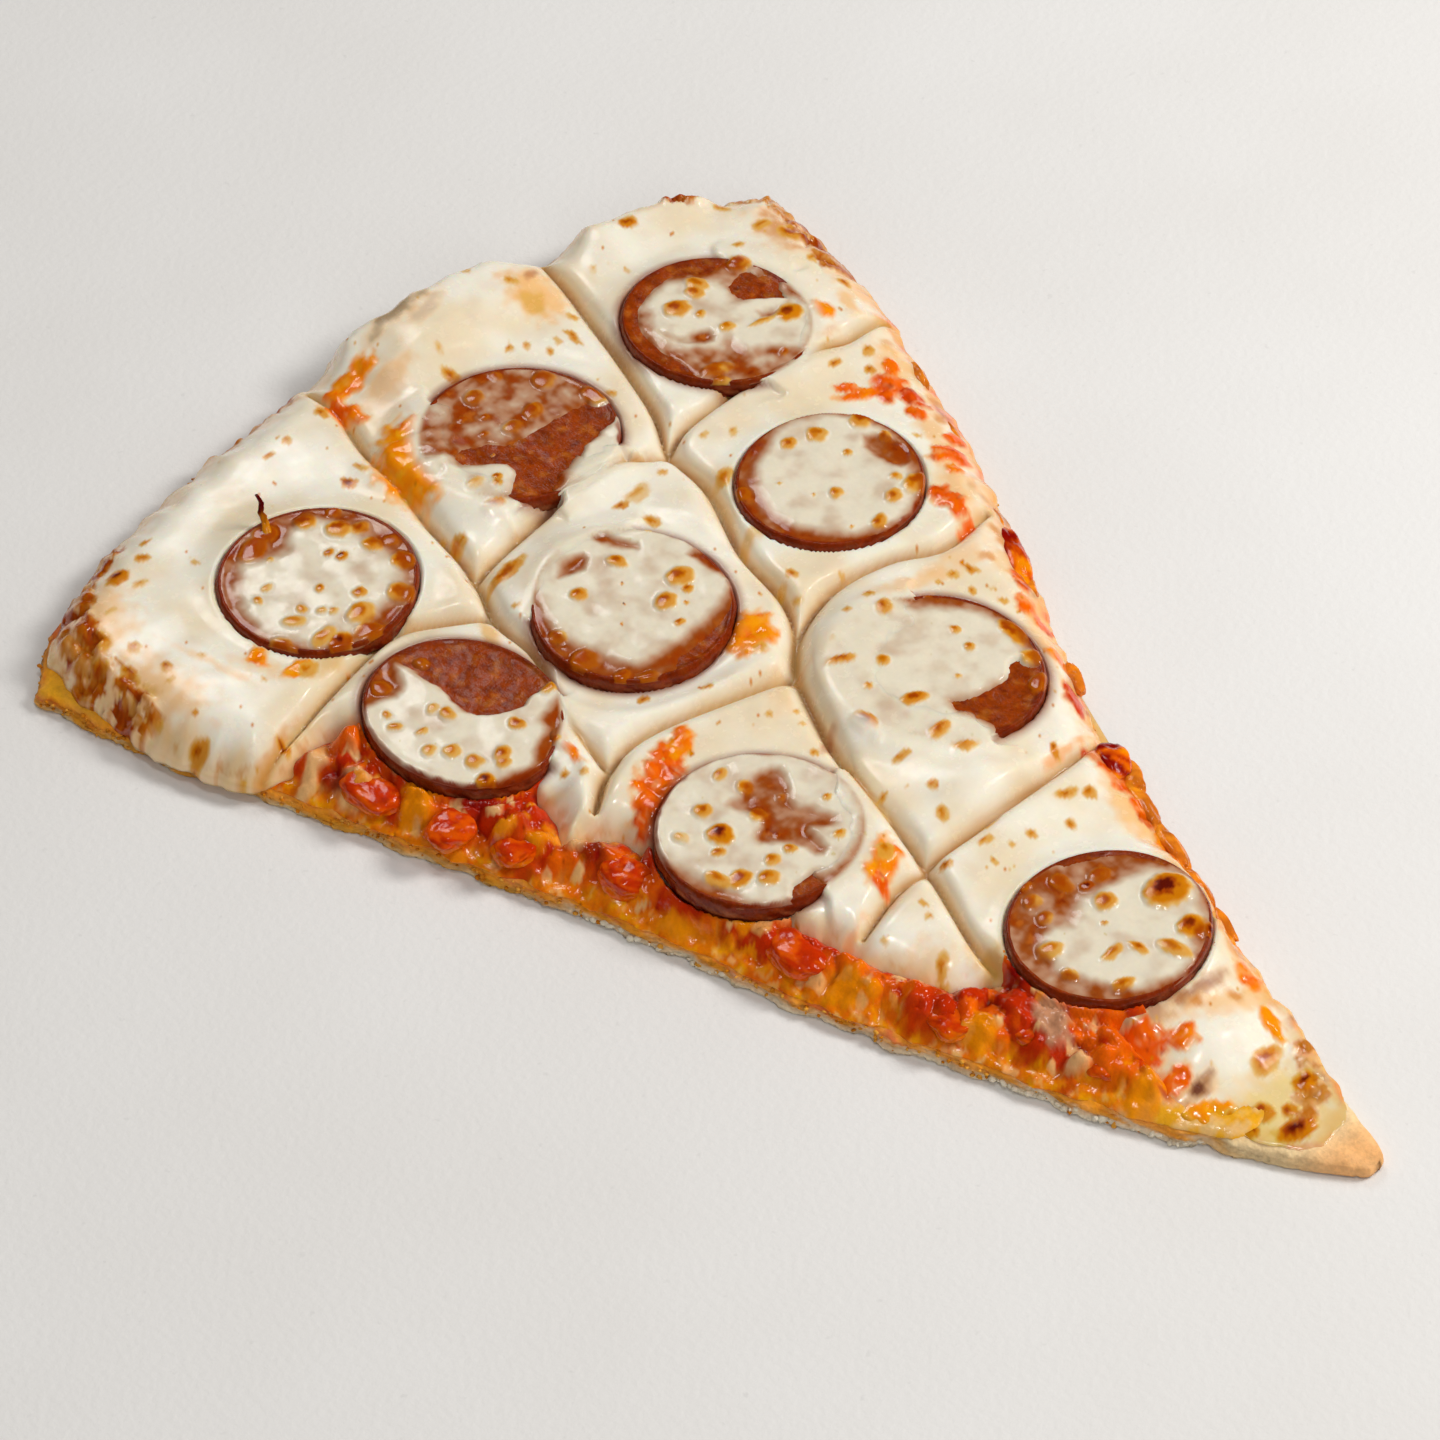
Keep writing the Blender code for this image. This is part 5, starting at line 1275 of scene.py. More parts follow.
# The cheese over each round, in millimetres from the round's middle.
# white: where it is opaque; thin: where it is a film within that; bare: where it leaves the meat
# open; film: how milky it is outside white; milky: how white it gets; blisters: x, y, length,
# width, turn, how brown.
VEILS = [
    {   # 1, at the tip
        "white": [[(1, 6.2), (6, 5.4), (9.7, 4.5), (13.5, 3), (15, -3), (12.4, -7), (8.5, -9.5),
                   (4.8, -11.7), (1.9, -14), (-1.4, -14), (-5.3, -12.4), (-8.3, -9.8),
                   (-10.2, -6.3), (-11.3, -2.7), (-11, 0.8), (-9.8, 4), (-7.5, 4.9), (-4, 3.6)]],
        "bare": [[(9, 11), (12.3, 8.4), (15, 3), (15.4, 6), (11, 12.5), (4, 15.5), (3.4, 13.5)]],
        "film": 0.75, "milky": 1.0,
        "blisters": [(11.0, -1.6, 7.4, 6.6, 0, 0.9), (8.6, -9.2, 4.8, 4.4, 0, 0.8),
                     (2.6, 3.4, 3.8, 3.6, 0, 0.62), (-10.4, 2.2, 4.2, 3.2, -30, 0.5),
                     (-4.0, -4.6, 4.6, 2.2, 10, 0.55), (-0.6, -6.8, 2.0, 3.8, 0, 0.6),
                     (3.3, -10.6, 3.2, 5.6, 20, 0.55), (-11.8, -3.2, 2.2, 3.2, 0, 0.5),
                     (-7.4, -10.2, 3.8, 2.2, -10, 0.6), (0.8, 11.0, 3.0, 4.4, 0, 0.55),
                     (6.4, 8.2, 4.0, 3.4, 0, 0.6), (-5.0, 11.4, 3.4, 3.0, 20, 0.5),
                     (3.2, 7.9, 2.4, 2.2, 0, 1.0), (-6.0, 7.6, 2.8, 2.4, 0, 0.55),
                     (-0.6, 0.4, 1.2, 1.2, 0, 0.5), (10.4, -12.2, 2.6, 3.6, 0, 0.85),
                     (-3.6, 14.6, 2.4, 2.2, 0, 0.5)],
    },
    {   # 2, near side
        "white": [[(-15.5, 7), (-11.5, 12.5), (-4, 15.5), (6, 15.5), (12.5, 10.5), (16, 4),
                   (16, -4), (12, -10), (5, -13), (1.5, -13), (0, -12.2), (-4, -12.2),
                   (-6.4, -14), (-10.5, -11.4), (-11.8, -6.7), (-13.6, -1.5), (-14.7, 2.2)]],
        "thin": [[(9.1, 8.7), (11.3, 7.5), (9.8, 3.7), (7.6, 0.8), (8.9, -2.4), (10.4, -5),
                  (9.4, -7.4), (6.5, -6.2), (5.2, -5), (5, -9.6), (2.6, -10.2), (1.6, -6.3),
                  (0.3, -4.4), (-2, -2.9), (-2, -0.6), (1, 0.6), (1.3, 2.6), (0, 4.6),
                  (-0.2, 7.4), (2.5, 7), (5, 8.6)]],
        "bare": [[(-4.5, -12.2), (0.6, -12.4), (1.4, -15), (1.6, -19), (-6, -20), (-7.4, -15.5)]],
        "film": 0.6, "milky": 0.93, "soft": 2.2,
        "blisters": [(3.1, 12.4, 3.0, 2.2, 20, 0.55), (-4.2, 8.4, 3.0, 3.0, 0, 0.6),
                     (-5.6, 3.0, 4.2, 4.2, 0, 0.85), (-10.4, 6.6, 2.4, 3.2, 0, 0.3),
                     (-3.2, -6.4, 3.0, 2.4, 0, 0.55), (0.3, -6.4, 2.4, 2.6, 0, 0.55),
                     (-6.4, -8.6, 3.6, 3.2, 0, 0.6), (-12.2, -3.6, 2.6, 4.6, 20, 0.55),
                     (1.6, 2.2, 3.2, 2.8, 0, 0.6), (4.2, 7.8, 2.6, 3.0, 0, 0.5),
                     (-8.2, 0.6, 2.6, 1.8, 0, 0.6), (-9.6, -5.8, 4.2, 3.2, 10, 0.72),
                     (12.0, -2.5, 1.8, 1.6, 0, 0.5), (8.0, -9.4, 2.6, 1.8, 0, 0.45),
                     (6.8, 2.6, 1.8, 1.4, 0, 0.35), (1.0, -2.8, 0.9, 0.7, 30, 1.0)],
    },
    {   # 3, far side, nearly all under the cheese around it
        "white": [[(-22, -22), (-9, -21), (-5.5, -18.5), (-4.2, -13), (-5.8, -9), (-4, -5.8),
                   (0, -7.4), (7, -8.2), (10.5, -8), (13, -4), (13.4, 2), (11, 7), (5, 12.5),
                   (4, 20), (-20, 22)]],
        "bare": [[(-4, -6.7), (0, -8.3), (4, -8.6), (7, -8.4), (9, -6.6), (13, -7.2), (16, -5.5),
                  (16.6, -2), (19, -3), (16, -12), (9, -18), (3, -20), (-3.6, -19.4),
                  (-2.6, -15.6), (-2.6, -12.9), (-4.4, -9.2)]],
        "film": 0.55, "milky": 1.0, "soft": 2.6,
        "blisters": [(2.5, 15.3, 3.4, 3.2, 0, 0.6), (10.5, 13.5, 2.6, 2.4, 0, 0.5),
                     (-11.0, 11.2, 5.2, 2.0, -20, 0.6), (-6.0, 6.8, 2.2, 2.2, 0, 0.55),
                     (-12.0, 4.3, 1.6, 1.4, 0, 0.5), (7.5, 4.3, 1.8, 2.2, 0, 0.55),
                     (6.5, 0.0, 2.0, 2.2, 0, 0.55), (-8.0, -2.6, 5.2, 2.6, -15, 0.7),
                     (9.6, -12.8, 4.6, 3.2, 20, 0.55), (14.2, -2.0, 3.2, 6.4, -10, 0.72),
                     (-17.7, -1.1, 3.4, 4.6, 0, 0.85), (-18.4, -5.0, 2.4, 2.4, 0, 0.75),
                     (12.6, -7.8, 3.2, 3.6, 0, 0.55), (0.5, -3.5, 1.4, 1.2, 0, 0.4),
                     (-10.0, -10.4, 5.0, 2.6, 10, 0.6), (-10.0, -15.6, 4.2, 2.6, -10, 0.6)],
    },
    {   # 4, on the near edge, a quarter of it bare
        "white": [[(-14.4, 8), (-12.5, 11), (-8.6, 10.5), (-5, 9.5), (-2.4, 12.5), (-1, 15),
                   (0.2, 9.2), (0.8, 6.4), (0.3, 1.4), (0.5, -1.2), (4.8, -3.5), (9.2, -4.3),
                   (11.5, -4.6), (15, -5.4), (12.2, -8.6), (8.2, -9.6), (7.4, -11.6),
                   (3, -13.6), (0, -16), (-3, -15.2), (-8, -14.4), (-11.6, -11.2),
                   (-14.5, -6), (-15, 0)]],
        "bare": [[(-0.1, 14), (2, 18), (14, 18), (18, 6), (17, -4), (14.2, -5.2), (11.5, -4.6),
                  (9.2, -4.6), (7.3, -5.4), (4.8, -4.6), (2.2, -3.0), (0.5, -1.2), (0.3, 1.4),
                  (0.5, 3.9), (0.8, 6.4), (0.2, 9.2)]],
        "film": 0.3, "milky": 0.98, "soft": 0.9, "thick": 1.2,
        "blisters": [(-9.6, 7.2, 1.4, 1.6, 0, 0.5), (-10.4, 4.6, 2.4, 1.6, -30, 0.55),
                     (-8.0, 0.8, 2.6, 1.6, 0, 0.45), (-3.5, 3.4, 2.4, 2.0, 0, 0.35),
                     (-2.6, 0.9, 2.6, 3.0, 0, 0.55), (-9.8, -3.0, 2.8, 2.4, 0, 0.45),
                     (-7.4, -5.6, 3.0, 3.0, 0, 0.5), (4.0, -8.0, 2.4, 3.0, 15, 0.65),
                     (-6.2, -9.6, 3.0, 3.2, 0, 0.55), (-2.0, -11.2, 3.8, 2.4, 25, 0.62),
                     (-3.0, -13.0, 2.8, 2.2, 0, 0.55), (-7.4, -13.6, 3.4, 3.2, 0, 0.85),
                     (-6.4, 12.6, 3.0, 3.4, 0, 0.6), (2.0, 12.5, 2.4, 2.8, 0, 0.35),
                     (13.0, -5.6, 3.4, 2.2, 0, 0.5), (6.2, -14.4, 1.6, 1.4, 0, 0.7)],
    },
    {   # 5, in the middle
        "white": [[(-10.2, 11), (-11.7, 7), (-12.3, 2.6), (-12, -1.2), (-10.5, -4.4),
                   (-9.1, -8.1), (-7.1, -10.8), (-3.4, -11), (0.7, -11), (6.2, -10.2),
                   (11, -9), (14.2, -7.6), (17, -4), (17.5, 3), (13, 11), (6, 17), (-2, 17.5),
                   (-8, 14)]],
        "thin": [[(5.2, 14.6), (6.4, 11.8), (8.6, 8.6), (9.8, 9.2), (8, 12.4), (6.4, 15.4)],
                 [(-4.8, 12.2), (-1.8, 14.4), (2.2, 13), (-0.2, 10.9)],
                 [(14.2, 2), (16.5, 1), (17, -5), (15, -6)]],
        "bare": [[(2, -13.4), (8, -12.4), (14, -10.6), (13, -13), (5, -18), (-4, -18),
                  (-3, -14)]],
        "film": 0.35, "milky": 0.95,
        "blisters": [(-13.9, -4.1, 4.6, 4.4, 0, 0.55), (-11.6, -10.6, 3.2, 2.4, 0, 0.55),
                     (-4.9, 7.0, 2.8, 3.0, 0, 0.62), (4.4, 8.2, 2.8, 3.4, 15, 0.6),
                     (4.2, -3.4, 4.2, 3.4, 25, 0.62), (9.6, -1.0, 5.0, 4.2, -10, 0.62),
                     (2.8, -8.2, 2.0, 1.6, 0, 0.6), (13.0, 10.3, 1.4, 1.4, 0, 0.35),
                     (8.8, -3.8, 2.0, 1.8, 0, 0.65), (-13.5, 2.4, 3.0, 3.2, 0, 0.45),
                     (6.6, -6.0, 1.0, 1.0, 0, 0.5), (-8.4, -13.4, 3.8, 2.0, -20, 0.45),
                     (-1.2, 0.6, 0.5, 0.5, 0, 1.0), (2.0, 4.2, 0.5, 0.5, 0, 1.0),
                     (-4.4, -2.4, 0.6, 0.5, 0, 0.9)],
    },
    {   # 6
        "white": [[(-2.6, 11.7), (1.7, 13.6), (6.9, 12.7), (11.7, 9.4), (13.7, 5), (14, -1),
                   (12.4, -5), (11.1, -6.9), (8.4, -11.1), (4.3, -13.6), (-0.2, -14),
                   (-5.2, -12.5), (-9.4, -8.5), (-12, -3.9), (-12, 0.6), (-9.9, 6),
                   (-6.3, 10.2)]],
        "thin": [[(9, 1.4), (11.4, 3.4), (14, 1.5), (15, -3), (12.6, -6.6), (9.6, -5)]],
        "film": 0.42, "milky": 1.0,
        "blisters": [(0.4, 10.2, 3.0, 2.6, 0, 0.6), (5.4, 8.6, 3.6, 3.4, 0, 0.55),
                     (6.0, 2.3, 1.6, 1.8, 0, 0.5), (-2.0, -3.6, 2.8, 2.4, 0, 0.55),
                     (4.6, -10.2, 3.4, 2.6, 20, 0.6), (-1.4, -13.0, 3.8, 2.4, 20, 0.6),
                     (9.6, -10.4, 5.4, 4.4, 15, 0.62), (8.0, -7.0, 2.0, 2.4, 0, 0.45),
                     (13.4, 6.6, 4.4, 4.2, 0, 0.65), (13.6, 1.2, 2.2, 2.4, 0, 0.55),
                     (-5.6, -11.0, 0.8, 0.8, 0, 0.4), (-7.2, 4.4, 0.9, 0.9, 0, 0.4),
                     (-13.2, 6.6, 3.0, 3.4, 0, 0.5), (-5.0, -1.4, 0.8, 0.8, 0, 0.4)],
    },
    {   # 7, near corner
        "white": [[(-7, 9.6), (0, 7.8), (3.8, 10.4), (8.7, 9.1), (10.6, 4), (11.4, -4.7),
                   (7.4, -9.7), (1.5, -11.7), (-3.3, -12.2), (-7.8, -12), (-11.6, -7.8),
                   (-13.8, -2.5), (-12.6, 3), (-9.6, 7.6)]],
        "film": 0.62, "milky": 0.96, "soft": 2.2,
        "blisters": [(-6.6, -3.8, 2.0, 1.8, 0, 0.5), (-9.4, -5.0, 4.0, 2.6, -25, 0.45),
                     (-8.0, -10.8, 5.0, 3.0, 10, 0.5), (-6.6, -13.4, 4.6, 3.2, 10, 0.85),
                     (-0.2, -11.0, 5.4, 4.4, 10, 0.55), (-1.8, -14.4, 4.8, 3.4, -20, 0.62),
                     (7.6, -11.6, 4.2, 4.4, 0, 0.6), (12.6, -6.2, 3.6, 4.0, 10, 0.65),
                     (14.0, -1.6, 2.4, 2.6, 0, 0.45), (11.2, -0.4, 3.2, 3.4, 0, 0.6),
                     (12.2, 4.0, 3.4, 3.0, 0, 0.7), (6.6, 10.9, 4.0, 3.6, 0, 0.72),
                     (9.6, 6.0, 4.2, 4.0, 0, 0.66), (11.6, 9.6, 2.6, 2.4, 0, 0.62),
                     (4.8, 3.0, 2.0, 1.6, 0, 0.75), (5.8, 0.8, 2.2, 1.6, 0, 0.85),
                     (-1.6, -2.2, 2.0, 1.6, 0, 0.6), (2.6, -7.2, 2.4, 2.0, 0, 0.62),
                     (-4.4, -6.2, 1.6, 1.6, 0, 0.35), (-3.2, -7.6, 1.8, 1.6, 0, 0.4),
                     (-10.6, 2.4, 1.8, 1.8, 0, 0.55), (-7.6, 3.6, 2.2, 1.4, 0, 0.35),
                     (-3.0, 8.0, 1.4, 1.4, 0, 0.35), (-3.4, 12.0, 6.4, 4.0, 20, 0.66),
                     (0.2, 13.4, 4.0, 3.4, 0, 0.78),
                     (-14.2, -8.0, 3.6, 5.0, 10, 0.5)],
    },
    {   # 8, in the middle of the rim
        "white": [[(-19, 5), (-12.8, 3.4), (-13.5, 0.8), (-9, -2.8), (-7, -4.4), (-7.6, -7.2),
                   (-11.4, -10), (-16, -8), (-14.6, -13), (-12, -18), (-10.8, -22),
                   (-24, -22), (-24, 2)],
                  [(19, -3.4), (15.4, -5.4), (13.6, -8.4), (8, -9.6), (2.6, -12), (-4.4, -15.6),
                   (-9.5, -19), (-8, -24), (20, -24)]],
        "bare": [[(-12.2, 2.3), (-9.4, 3), (-5, 0.9), (-2.7, -1.2), (5.3, -1.5), (13.5, -1.7),
                  (17, 0.4), (17.5, -4.2), (14.6, -8), (8.1, -9.2), (2.7, -11.4), (-4.4, -15),
                  (-10.6, -18.4), (-11.6, -17.1), (-13.9, -15.3), (-14.4, -12.8), (-16.2, -8.6),
                  (-11.2, -10.2), (-7, -7.5), (-6.1, -4.2), (-8.4, -2.1), (-12.8, 1.2)]],
        "film": 0.95, "milky": 0.95, "thick": 1.1,
        "blisters": [(0.6, 11.4, 3.4, 3.6, 0, 0.55), (5.6, 2.4, 4.0, 3.2, 20, 0.66),
                     (0.4, 1.6, 3.6, 3.2, 0, 0.4), (-9.8, -6.0, 2.2, 1.8, 0, 0.65),
                     (-14.5, -10.5, 4.2, 2.6, -10, 0.7), (12.0, 6.8, 3.8, 4.0, 0, 0.55),
                     (-4.4, 8.6, 1.6, 1.4, 0, 0.6), (-1.4, 6.6, 1.8, 1.6, 0, 0.5),
                     (15.6, -1.6, 3.4, 5.0, 0, 0.55), (-4.0, 3.6, 1.8, 1.6, 0, 0.45),
                     (-10.6, -7.2, 1.8, 1.6, 0, 0.6), (6.5, 12.8, 1.8, 2.4, 0, 0.4),
                     (-6.4, -1.0, 0.9, 0.9, 0, 1.0), (-13.4, -5.0, 3.2, 2.4, 0, 0.3)],
    },
    {   # 9, far corner
        "white": [[(-8.9, 7), (-5.3, 10.2), (0.4, 11.8), (4.4, 8.2), (5.8, 4.2), (4.6, 1.2),
                   (10.9, -1.9), (13.9, -5.8), (12.4, -9.6), (8.3, -13.2), (5.3, -14.3),
                   (3, -12.2), (1.3, -9.5), (-1.3, -9.2), (-1.4, -5), (-5.7, -4.2),
                   (-9.5, -0.6), (-10.2, 3.6)]],
        "thin": [[(-9.4, 4.4), (-7.7, 1), (-3, -1), (-4.4, -3.6), (-9, -0.4)],
                 [(6.2, -3), (12, -5), (11, -6.6), (6, -5.2)]],
        "bare": [[(-12, -8), (-16, -4), (-16, 8), (-9, 16), (2, 18), (12, 12), (7.6, 9.6),
                  (3, 12.8), (-3, 13), (-9, 10), (-12.2, 4), (-12, -3)],
                 [(12.9, 7), (16.6, 3), (17, 0.3), (14.8, -5.6), (10.3, -1.4), (6.7, 1.2),
                  (6.8, 4.4), (9.4, 5.6)]],
        "film": 0.95, "milky": 0.95,
        "blisters": [(-3.6, 6.0, 4.6, 4.4, 0, 0.66), (3.3, 8.4, 3.4, 4.6, 15, 0.55),
                     (1.4, 7.0, 3.0, 3.6, 0, 0.6), (-0.4, -2.8, 3.0, 2.6, 0, 0.5),
                     (9.9, -6.9, 4.8, 4.2, 0, 0.78), (-1.4, 2.4, 2.0, 2.0, 0, 0.5),
                     (12.4, 8.0, 4.0, 3.6, 0, 0.72), (-8.4, -9.0, 5.6, 3.0, -15, 0.55),
                     (5.4, -5.6, 6.6, 1.6, -10, 0.4), (2.6, -13.4, 1.6, 1.4, 0, 0.45),
                     (-9.8, -11.6, 3.0, 2.2, 0, 0.45)],
    },
]


def depth_in_all(x, y, outlines):
    return np.max([depth_in(x, y, spline([*line, line[0]], 1.5)[:-1]) for line in outlines], axis=0)


class Veil:
    """How thick and how white the cheese lies over one round, at any points of the plane."""

    def __init__(self, each, spec, x, y):
        self.spec, self.each, self.x, self.y = spec, each, x, y
        dx, dy = x - each.x, y - each.y
        wx = dx + 0.3 * rough(x, y, 3.2, 301, 2) + 0.05 * grain(x, y, 0.8, 305)
        wy = dy + 0.3 * rough(x, y, 3.2, 311, 2) + 0.05 * grain(x, y, 0.8, 315)
        self.core = depth_in_all(wx, wy, spec["white"])
        if "thin" in spec:
            hole = depth_in_all(wx, wy, spec["thin"])
            self.core = np.minimum(self.core, -0.2 - 1.6 * hole)
        self.open = depth_in_all(wx, wy, spec["bare"]) if "bare" in spec else np.full(np.shape(x), -9.0)
        self.brown = np.zeros(np.shape(x))
        self.bump = np.zeros(np.shape(x))
        for cx, cy, length, width, turn, depth in spec["blisters"]:
            q = oval(wx, wy, cx, cy, length / 2, width / 2, turn)
            core = oval(wx, wy, cx, cy + 0.12 * width, 0.35 * length, 0.35 * width, turn)
            self.brown = np.maximum(self.brown, blister(x, y, q, core, depth))
            dome = np.sqrt(np.clip(1 - (q / 1.15) ** 2, 0, 1)) * (0.08 + 0.11 * min(length, width))
            self.bump = np.maximum(self.bump, dome)
            # A blister keeps its own cheese, also where the meat around it is bare.
            self.open = np.minimum(self.open, (q - 1.25) * min(length, width) / 2)

    def height(self, plain=False):
        """The height of the cheese. plain leaves out how it thins at the rim and where it is open."""
        spec, each, x, y = self.spec, self.each, self.x, self.y
        rim = (1 - each.share(x, y)) * each.rx
        pooled = 0.16 + 0.5 * spec.get("thick", 1.0) * smooth(-2.4, 1.2, self.core)
        pooled = pooled * (1 + 0.2 * grain(x, y, 6.0, 331 + each.index))
        edge = np.sqrt(np.clip(-self.open / 0.7, 0, 1))
        if plain:
            return each.top(x, y, 0.0, 0.2) + pooled + self.bump
        lapped = smooth(0.3, 1.5, each.lap(x, y))
        pooled = pooled - 0.3 * smooth(1.5, 0.4, rim) * (1 - lapped)
        return each.top(x, y, 1 - lapped, 0.2) + (pooled + self.bump) * edge - 0.1 * (1 - edge)

    def colour(self):
        spec, each, x, y = self.spec, self.each, self.x, self.y
        clouds = rough(x, y, 4.6, 351 + each.index)
        white = smooth(-spec.get("soft", 1.7), 1.3, self.core) * spec["milky"]
        thin = spec["film"] * (0.5 + 0.75 * clouds) + 0.1 * rough(x, y, 1.4, 357, 2)
        white = np.maximum(white * (1 + 0.16 * clouds - 0.08), 0.0)
        milk = np.clip(np.maximum(white, 0.62 * thin * (1 - white) + white), 0, 1)
        milk = milk * (1 - 0.2 * smooth(-0.2, 0.9, rough(x, y, 6.5, 353 + each.index, 2)))
        lapped = smooth(0.3, 1.2, each.lap(x, y))
        milk = np.maximum(milk, 0.9 * lapped * smooth(0.9, 1.0, each.share(x, y)))
        meat = meat_paint(each, x, y)
        paint = mix(meat, VEIL_THIN, smooth(0.0, 0.18, milk))
        paint = mix(paint, VEIL_PINK, smooth(0.12, 0.38, milk))
        paint = mix(paint, VEIL_GREY, smooth(0.34, 0.66, milk))
        paint = mix(paint, VEIL_WHITE, smooth(0.6, 0.95, milk))
        lip = smooth(1.0, 0.35, (1 - each.share(x, y)) * each.rx + 0.5 * grain(x, y, 2.0, 359))
        worn = 0.55 + 0.4 * smooth(-0.4, 0.4, grain(x, y, 6.0, 360))
        paint = mix(paint, meat, worn * lip * (1 - lapped))
        tiny = smooth(0.95, 1.12, rough(x, y, 1.6, 361, 2))
        paint = mix(paint, rgb(196, 172, 60), 0.5 * tiny * smooth(0.4, 0.8, milk))
        wet = 0.5 + 0.3 * smooth(0.7, 0.2, milk) + 0.2 * smooth(0.2, 0.7, self.brown)
        return toasted(paint, self.brown, smooth(0.62, 0.2, milk)), wet


def make_veil(each, spec):
    turn = np.linspace(0, 2 * math.pi, 240, endpoint=False)
    uneven = 1 + 0.012 * np.cos(2 * turn + each.index) + 0.008 * np.cos(3 * turn + 2.1 * each.index)
    line = np.column_stack([
        each.x + np.cos(turn) * each.rx * uneven * 0.985,
        each.y + np.sin(turn) * each.ry * uneven * 0.985,
    ])

    def covered(px, py):
        return Veil(each, spec, px, py).open < 0.0

    x, y, quads = grid_in(line, 0.33, covered)
    veil = Veil(each, spec, x, y)
    top = veil.height()

    def rows(bx, by, bz):
        return [(0.12, bz - 0.14), (0.14, bz - 0.45)]

    def floor(px, py):
        return each.top(px, py) - 0.35

    points, faces = solid_sheet(x, y, top, quads, rows, floor)
    whole = Veil(each, spec, points[:, 0], points[:, 1])
    paint, wet = whole.colour()
    make_piece(f"melted_veil_{each.index + 1}", points, faces, paint, wet, LOOKS["veil"],
               f"melted_cheese_{each.index + 1}")


def make_strand():
    """A charred thread of cheese that stands up at the edge of the round by the near corner."""
    each = ROUNDS[6]
    start = np.array([each.x + 0.6, each.y + 13.4])
    high = float(each.top(*start)) + 0.5
    path = np.array([[0, 0, 0], [0.9, 1.6, 0.8], [1.0, 2.6, 1.9], [1.9, 3.4, 2.9], [1.6, 4.2, 4.2]])
    points, faces, paint = [], [], []
    around = np.linspace(0, 2 * math.pi, 10, endpoint=False)
    steps = np.linspace(0, 4, 29)
    for k, t in enumerate(steps):
        middle = [np.interp(t, range(5), path[:, axis]) for axis in range(3)]
        for a in around:
            wide = (0.75 - 0.12 * t) * (1 + 0.45 * noise.noise(Vector((a * 1.3, t * 2.2, 5))))
            points.append((start[0] + middle[0] + wide * math.cos(a),
                           start[1] + middle[1] + wide * math.sin(a), high + middle[2]))
            paint.append(mix(ORANGE, SCORCH, smooth(0.5, 2.6, t + noise.noise(Vector((a, t, 3))))))
        if k:
            for i in range(10):
                j = (i + 1) % 10
                faces.append((10 * k - 10 + i, 10 * k - 10 + j, 10 * k + j, 10 * k + i))
    faces.append(tuple(range(9, -1, -1)))
    faces.append(tuple(range(len(points) - 10, len(points))))
    make_piece("burnt_strand", np.array(points), faces, np.array(paint), 0.6, LOOKS["veil"])


# ---------------------------------------------------------------- stage, light and camera


def make_floor():
    size = 6.0
    mesh = bpy.data.meshes.new("floor")
    mesh.from_pydata([(-size, -size, 0), (size, -size, 0), (size, size, 0), (-size, size, 0)], [],
                     [(0, 1, 2, 3)])
    floor = bpy.data.objects.new("floor", mesh)
    floor.location.z = -0.0001
    bpy.context.scene.collection.objects.link(floor)
    nodes = Nodes("floor")
    cloud = nodes.scaled(nodes.grain(14, 5.0), 0.35, 0.65, 0.0, 1.0)
    speck = nodes.scaled(nodes.grain(500, 3.0), 0.68, 0.76, 0.0, 0.5)
    pale = nodes.add("ShaderNodeMix", {0: cloud, 6: (0.78, 0.765, 0.745, 1), 7: (0.81, 0.80, 0.785, 1)},
                     data_type="RGBA")
    marked = nodes.add("ShaderNodeMix", {0: speck, 6: pale.outputs[2], 7: (0.68, 0.67, 0.655, 1)},
                       data_type="RGBA")
    nodes.put(nodes.shader, "Base Color", marked.outputs[2])
    nodes.shader.inputs["Roughness"].default_value = 0.75
    bump = nodes.add("ShaderNodeBump", {"Height": nodes.grain(700, 4.0), "Strength": 0.6,
                                        "Distance": 0.0002})
    nodes.put(nodes.shader, "Normal", bump.outputs[0])
    mesh.materials.append(nodes.made)


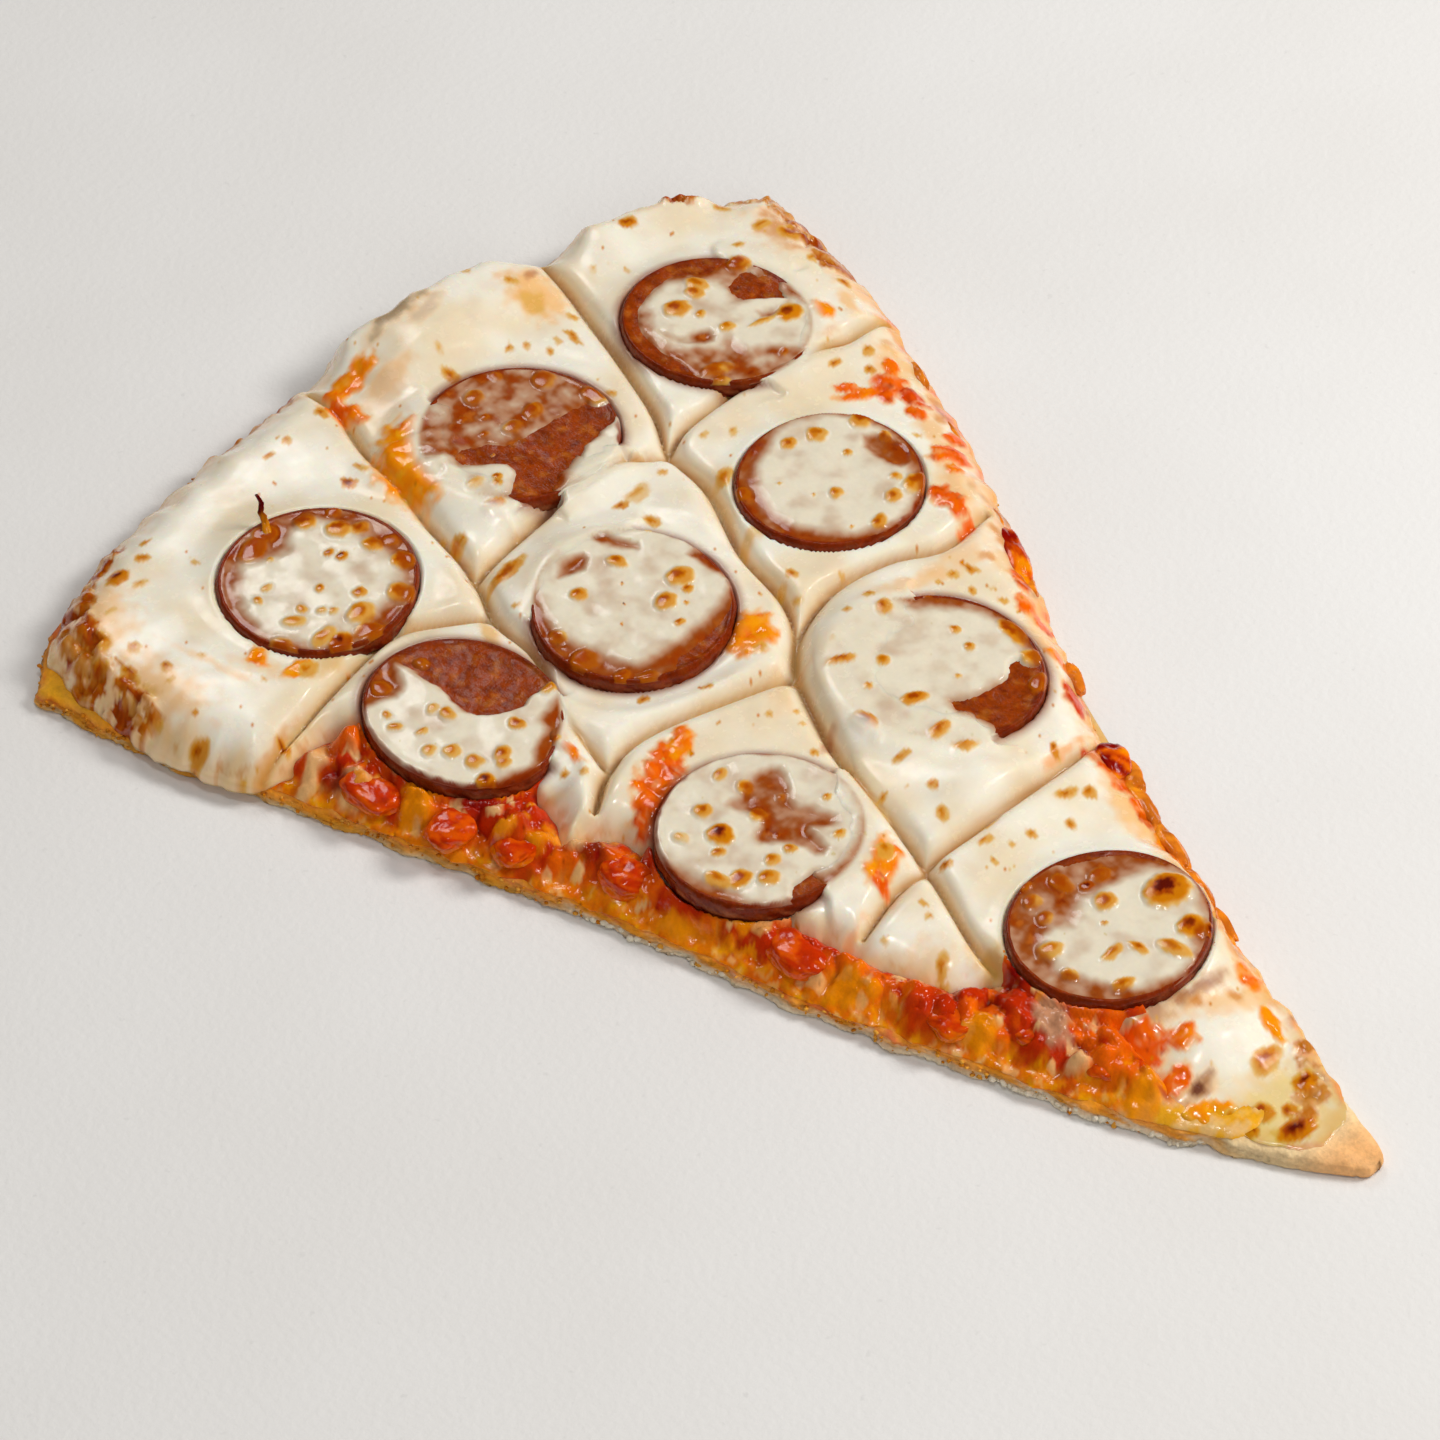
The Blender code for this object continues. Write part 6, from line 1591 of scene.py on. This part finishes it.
def add_area(name, place, aim, size, power, colour=(1, 1, 1), glints=True):
    data = bpy.data.lights.new(name, "AREA")
    data.shape = "DISK"
    data.size = size
    data.energy = power
    data.color = colour
    light = bpy.data.objects.new(name, data)
    light.location = place
    light.rotation_euler = (Vector(aim) - Vector(place)).to_track_quat("-Z", "Y").to_euler()
    light.visible_glossy = glints
    bpy.context.scene.collection.objects.link(light)


def light_and_camera():
    scene = bpy.context.scene
    world = bpy.data.worlds.new("studio")
    scene.world = world
    world.use_nodes = True
    back = world.node_tree.nodes["Background"]
    back.inputs["Color"].default_value = (1.0, 0.965, 0.925, 1)
    back.inputs["Strength"].default_value = 0.28
    world.cycles_visibility.glossy = False
    # The camera looks along (0.68, 0.73, 0), so its right is (0.73, -0.68, 0).
    add_area("key", (0.544, -0.37, 0.6), (0, 0, 0), 0.3, 4.6, (1.0, 0.985, 0.96), False)
    add_area("fill", (-0.35, -0.75, 0.6), (0, 0, 0), 0.5, 1.5, (1.0, 0.98, 0.95), False)
    add_area("side", (0.62, -0.2, 0.75), (0, 0, 0), 0.12, 0.8)
    add_area("window", (0.3, 0.75, 0.9), (0, 0, 0), 0.36, 1.8)
    add_area("top", (-0.12, -0.12, 1.3), (0, 0, 0), 0.14, 2.0)
    scene.view_settings.view_transform = "Standard"
    target = Vector((-0.0091, 0.01739, 0))
    elevation, azimuth = math.radians(45.5), math.radians(-42.98)
    level = Vector((-math.sin(azimuth), math.cos(azimuth), 0))
    forward = level * math.cos(elevation) - Vector((0, 0, math.sin(elevation)))
    data = bpy.data.cameras.new("camera")
    data.lens = 160.0
    data.sensor_width = 36.0
    data.clip_start, data.clip_end = 0.05, 20.0
    camera = bpy.data.objects.new("camera", data)
    camera.location = target - forward * 1.0175
    camera.rotation_euler = forward.to_track_quat("-Z", "Y").to_euler()
    scene.collection.objects.link(camera)
    scene.camera = camera


make_crust()
make_flakes()
make_sauce()
make_tomatoes()
make_drops()
make_cheese()
for each in ROUNDS:
    make_meat(each)
    make_veil(each, VEILS[each.index])
make_strand()
make_floor()
light_and_camera()
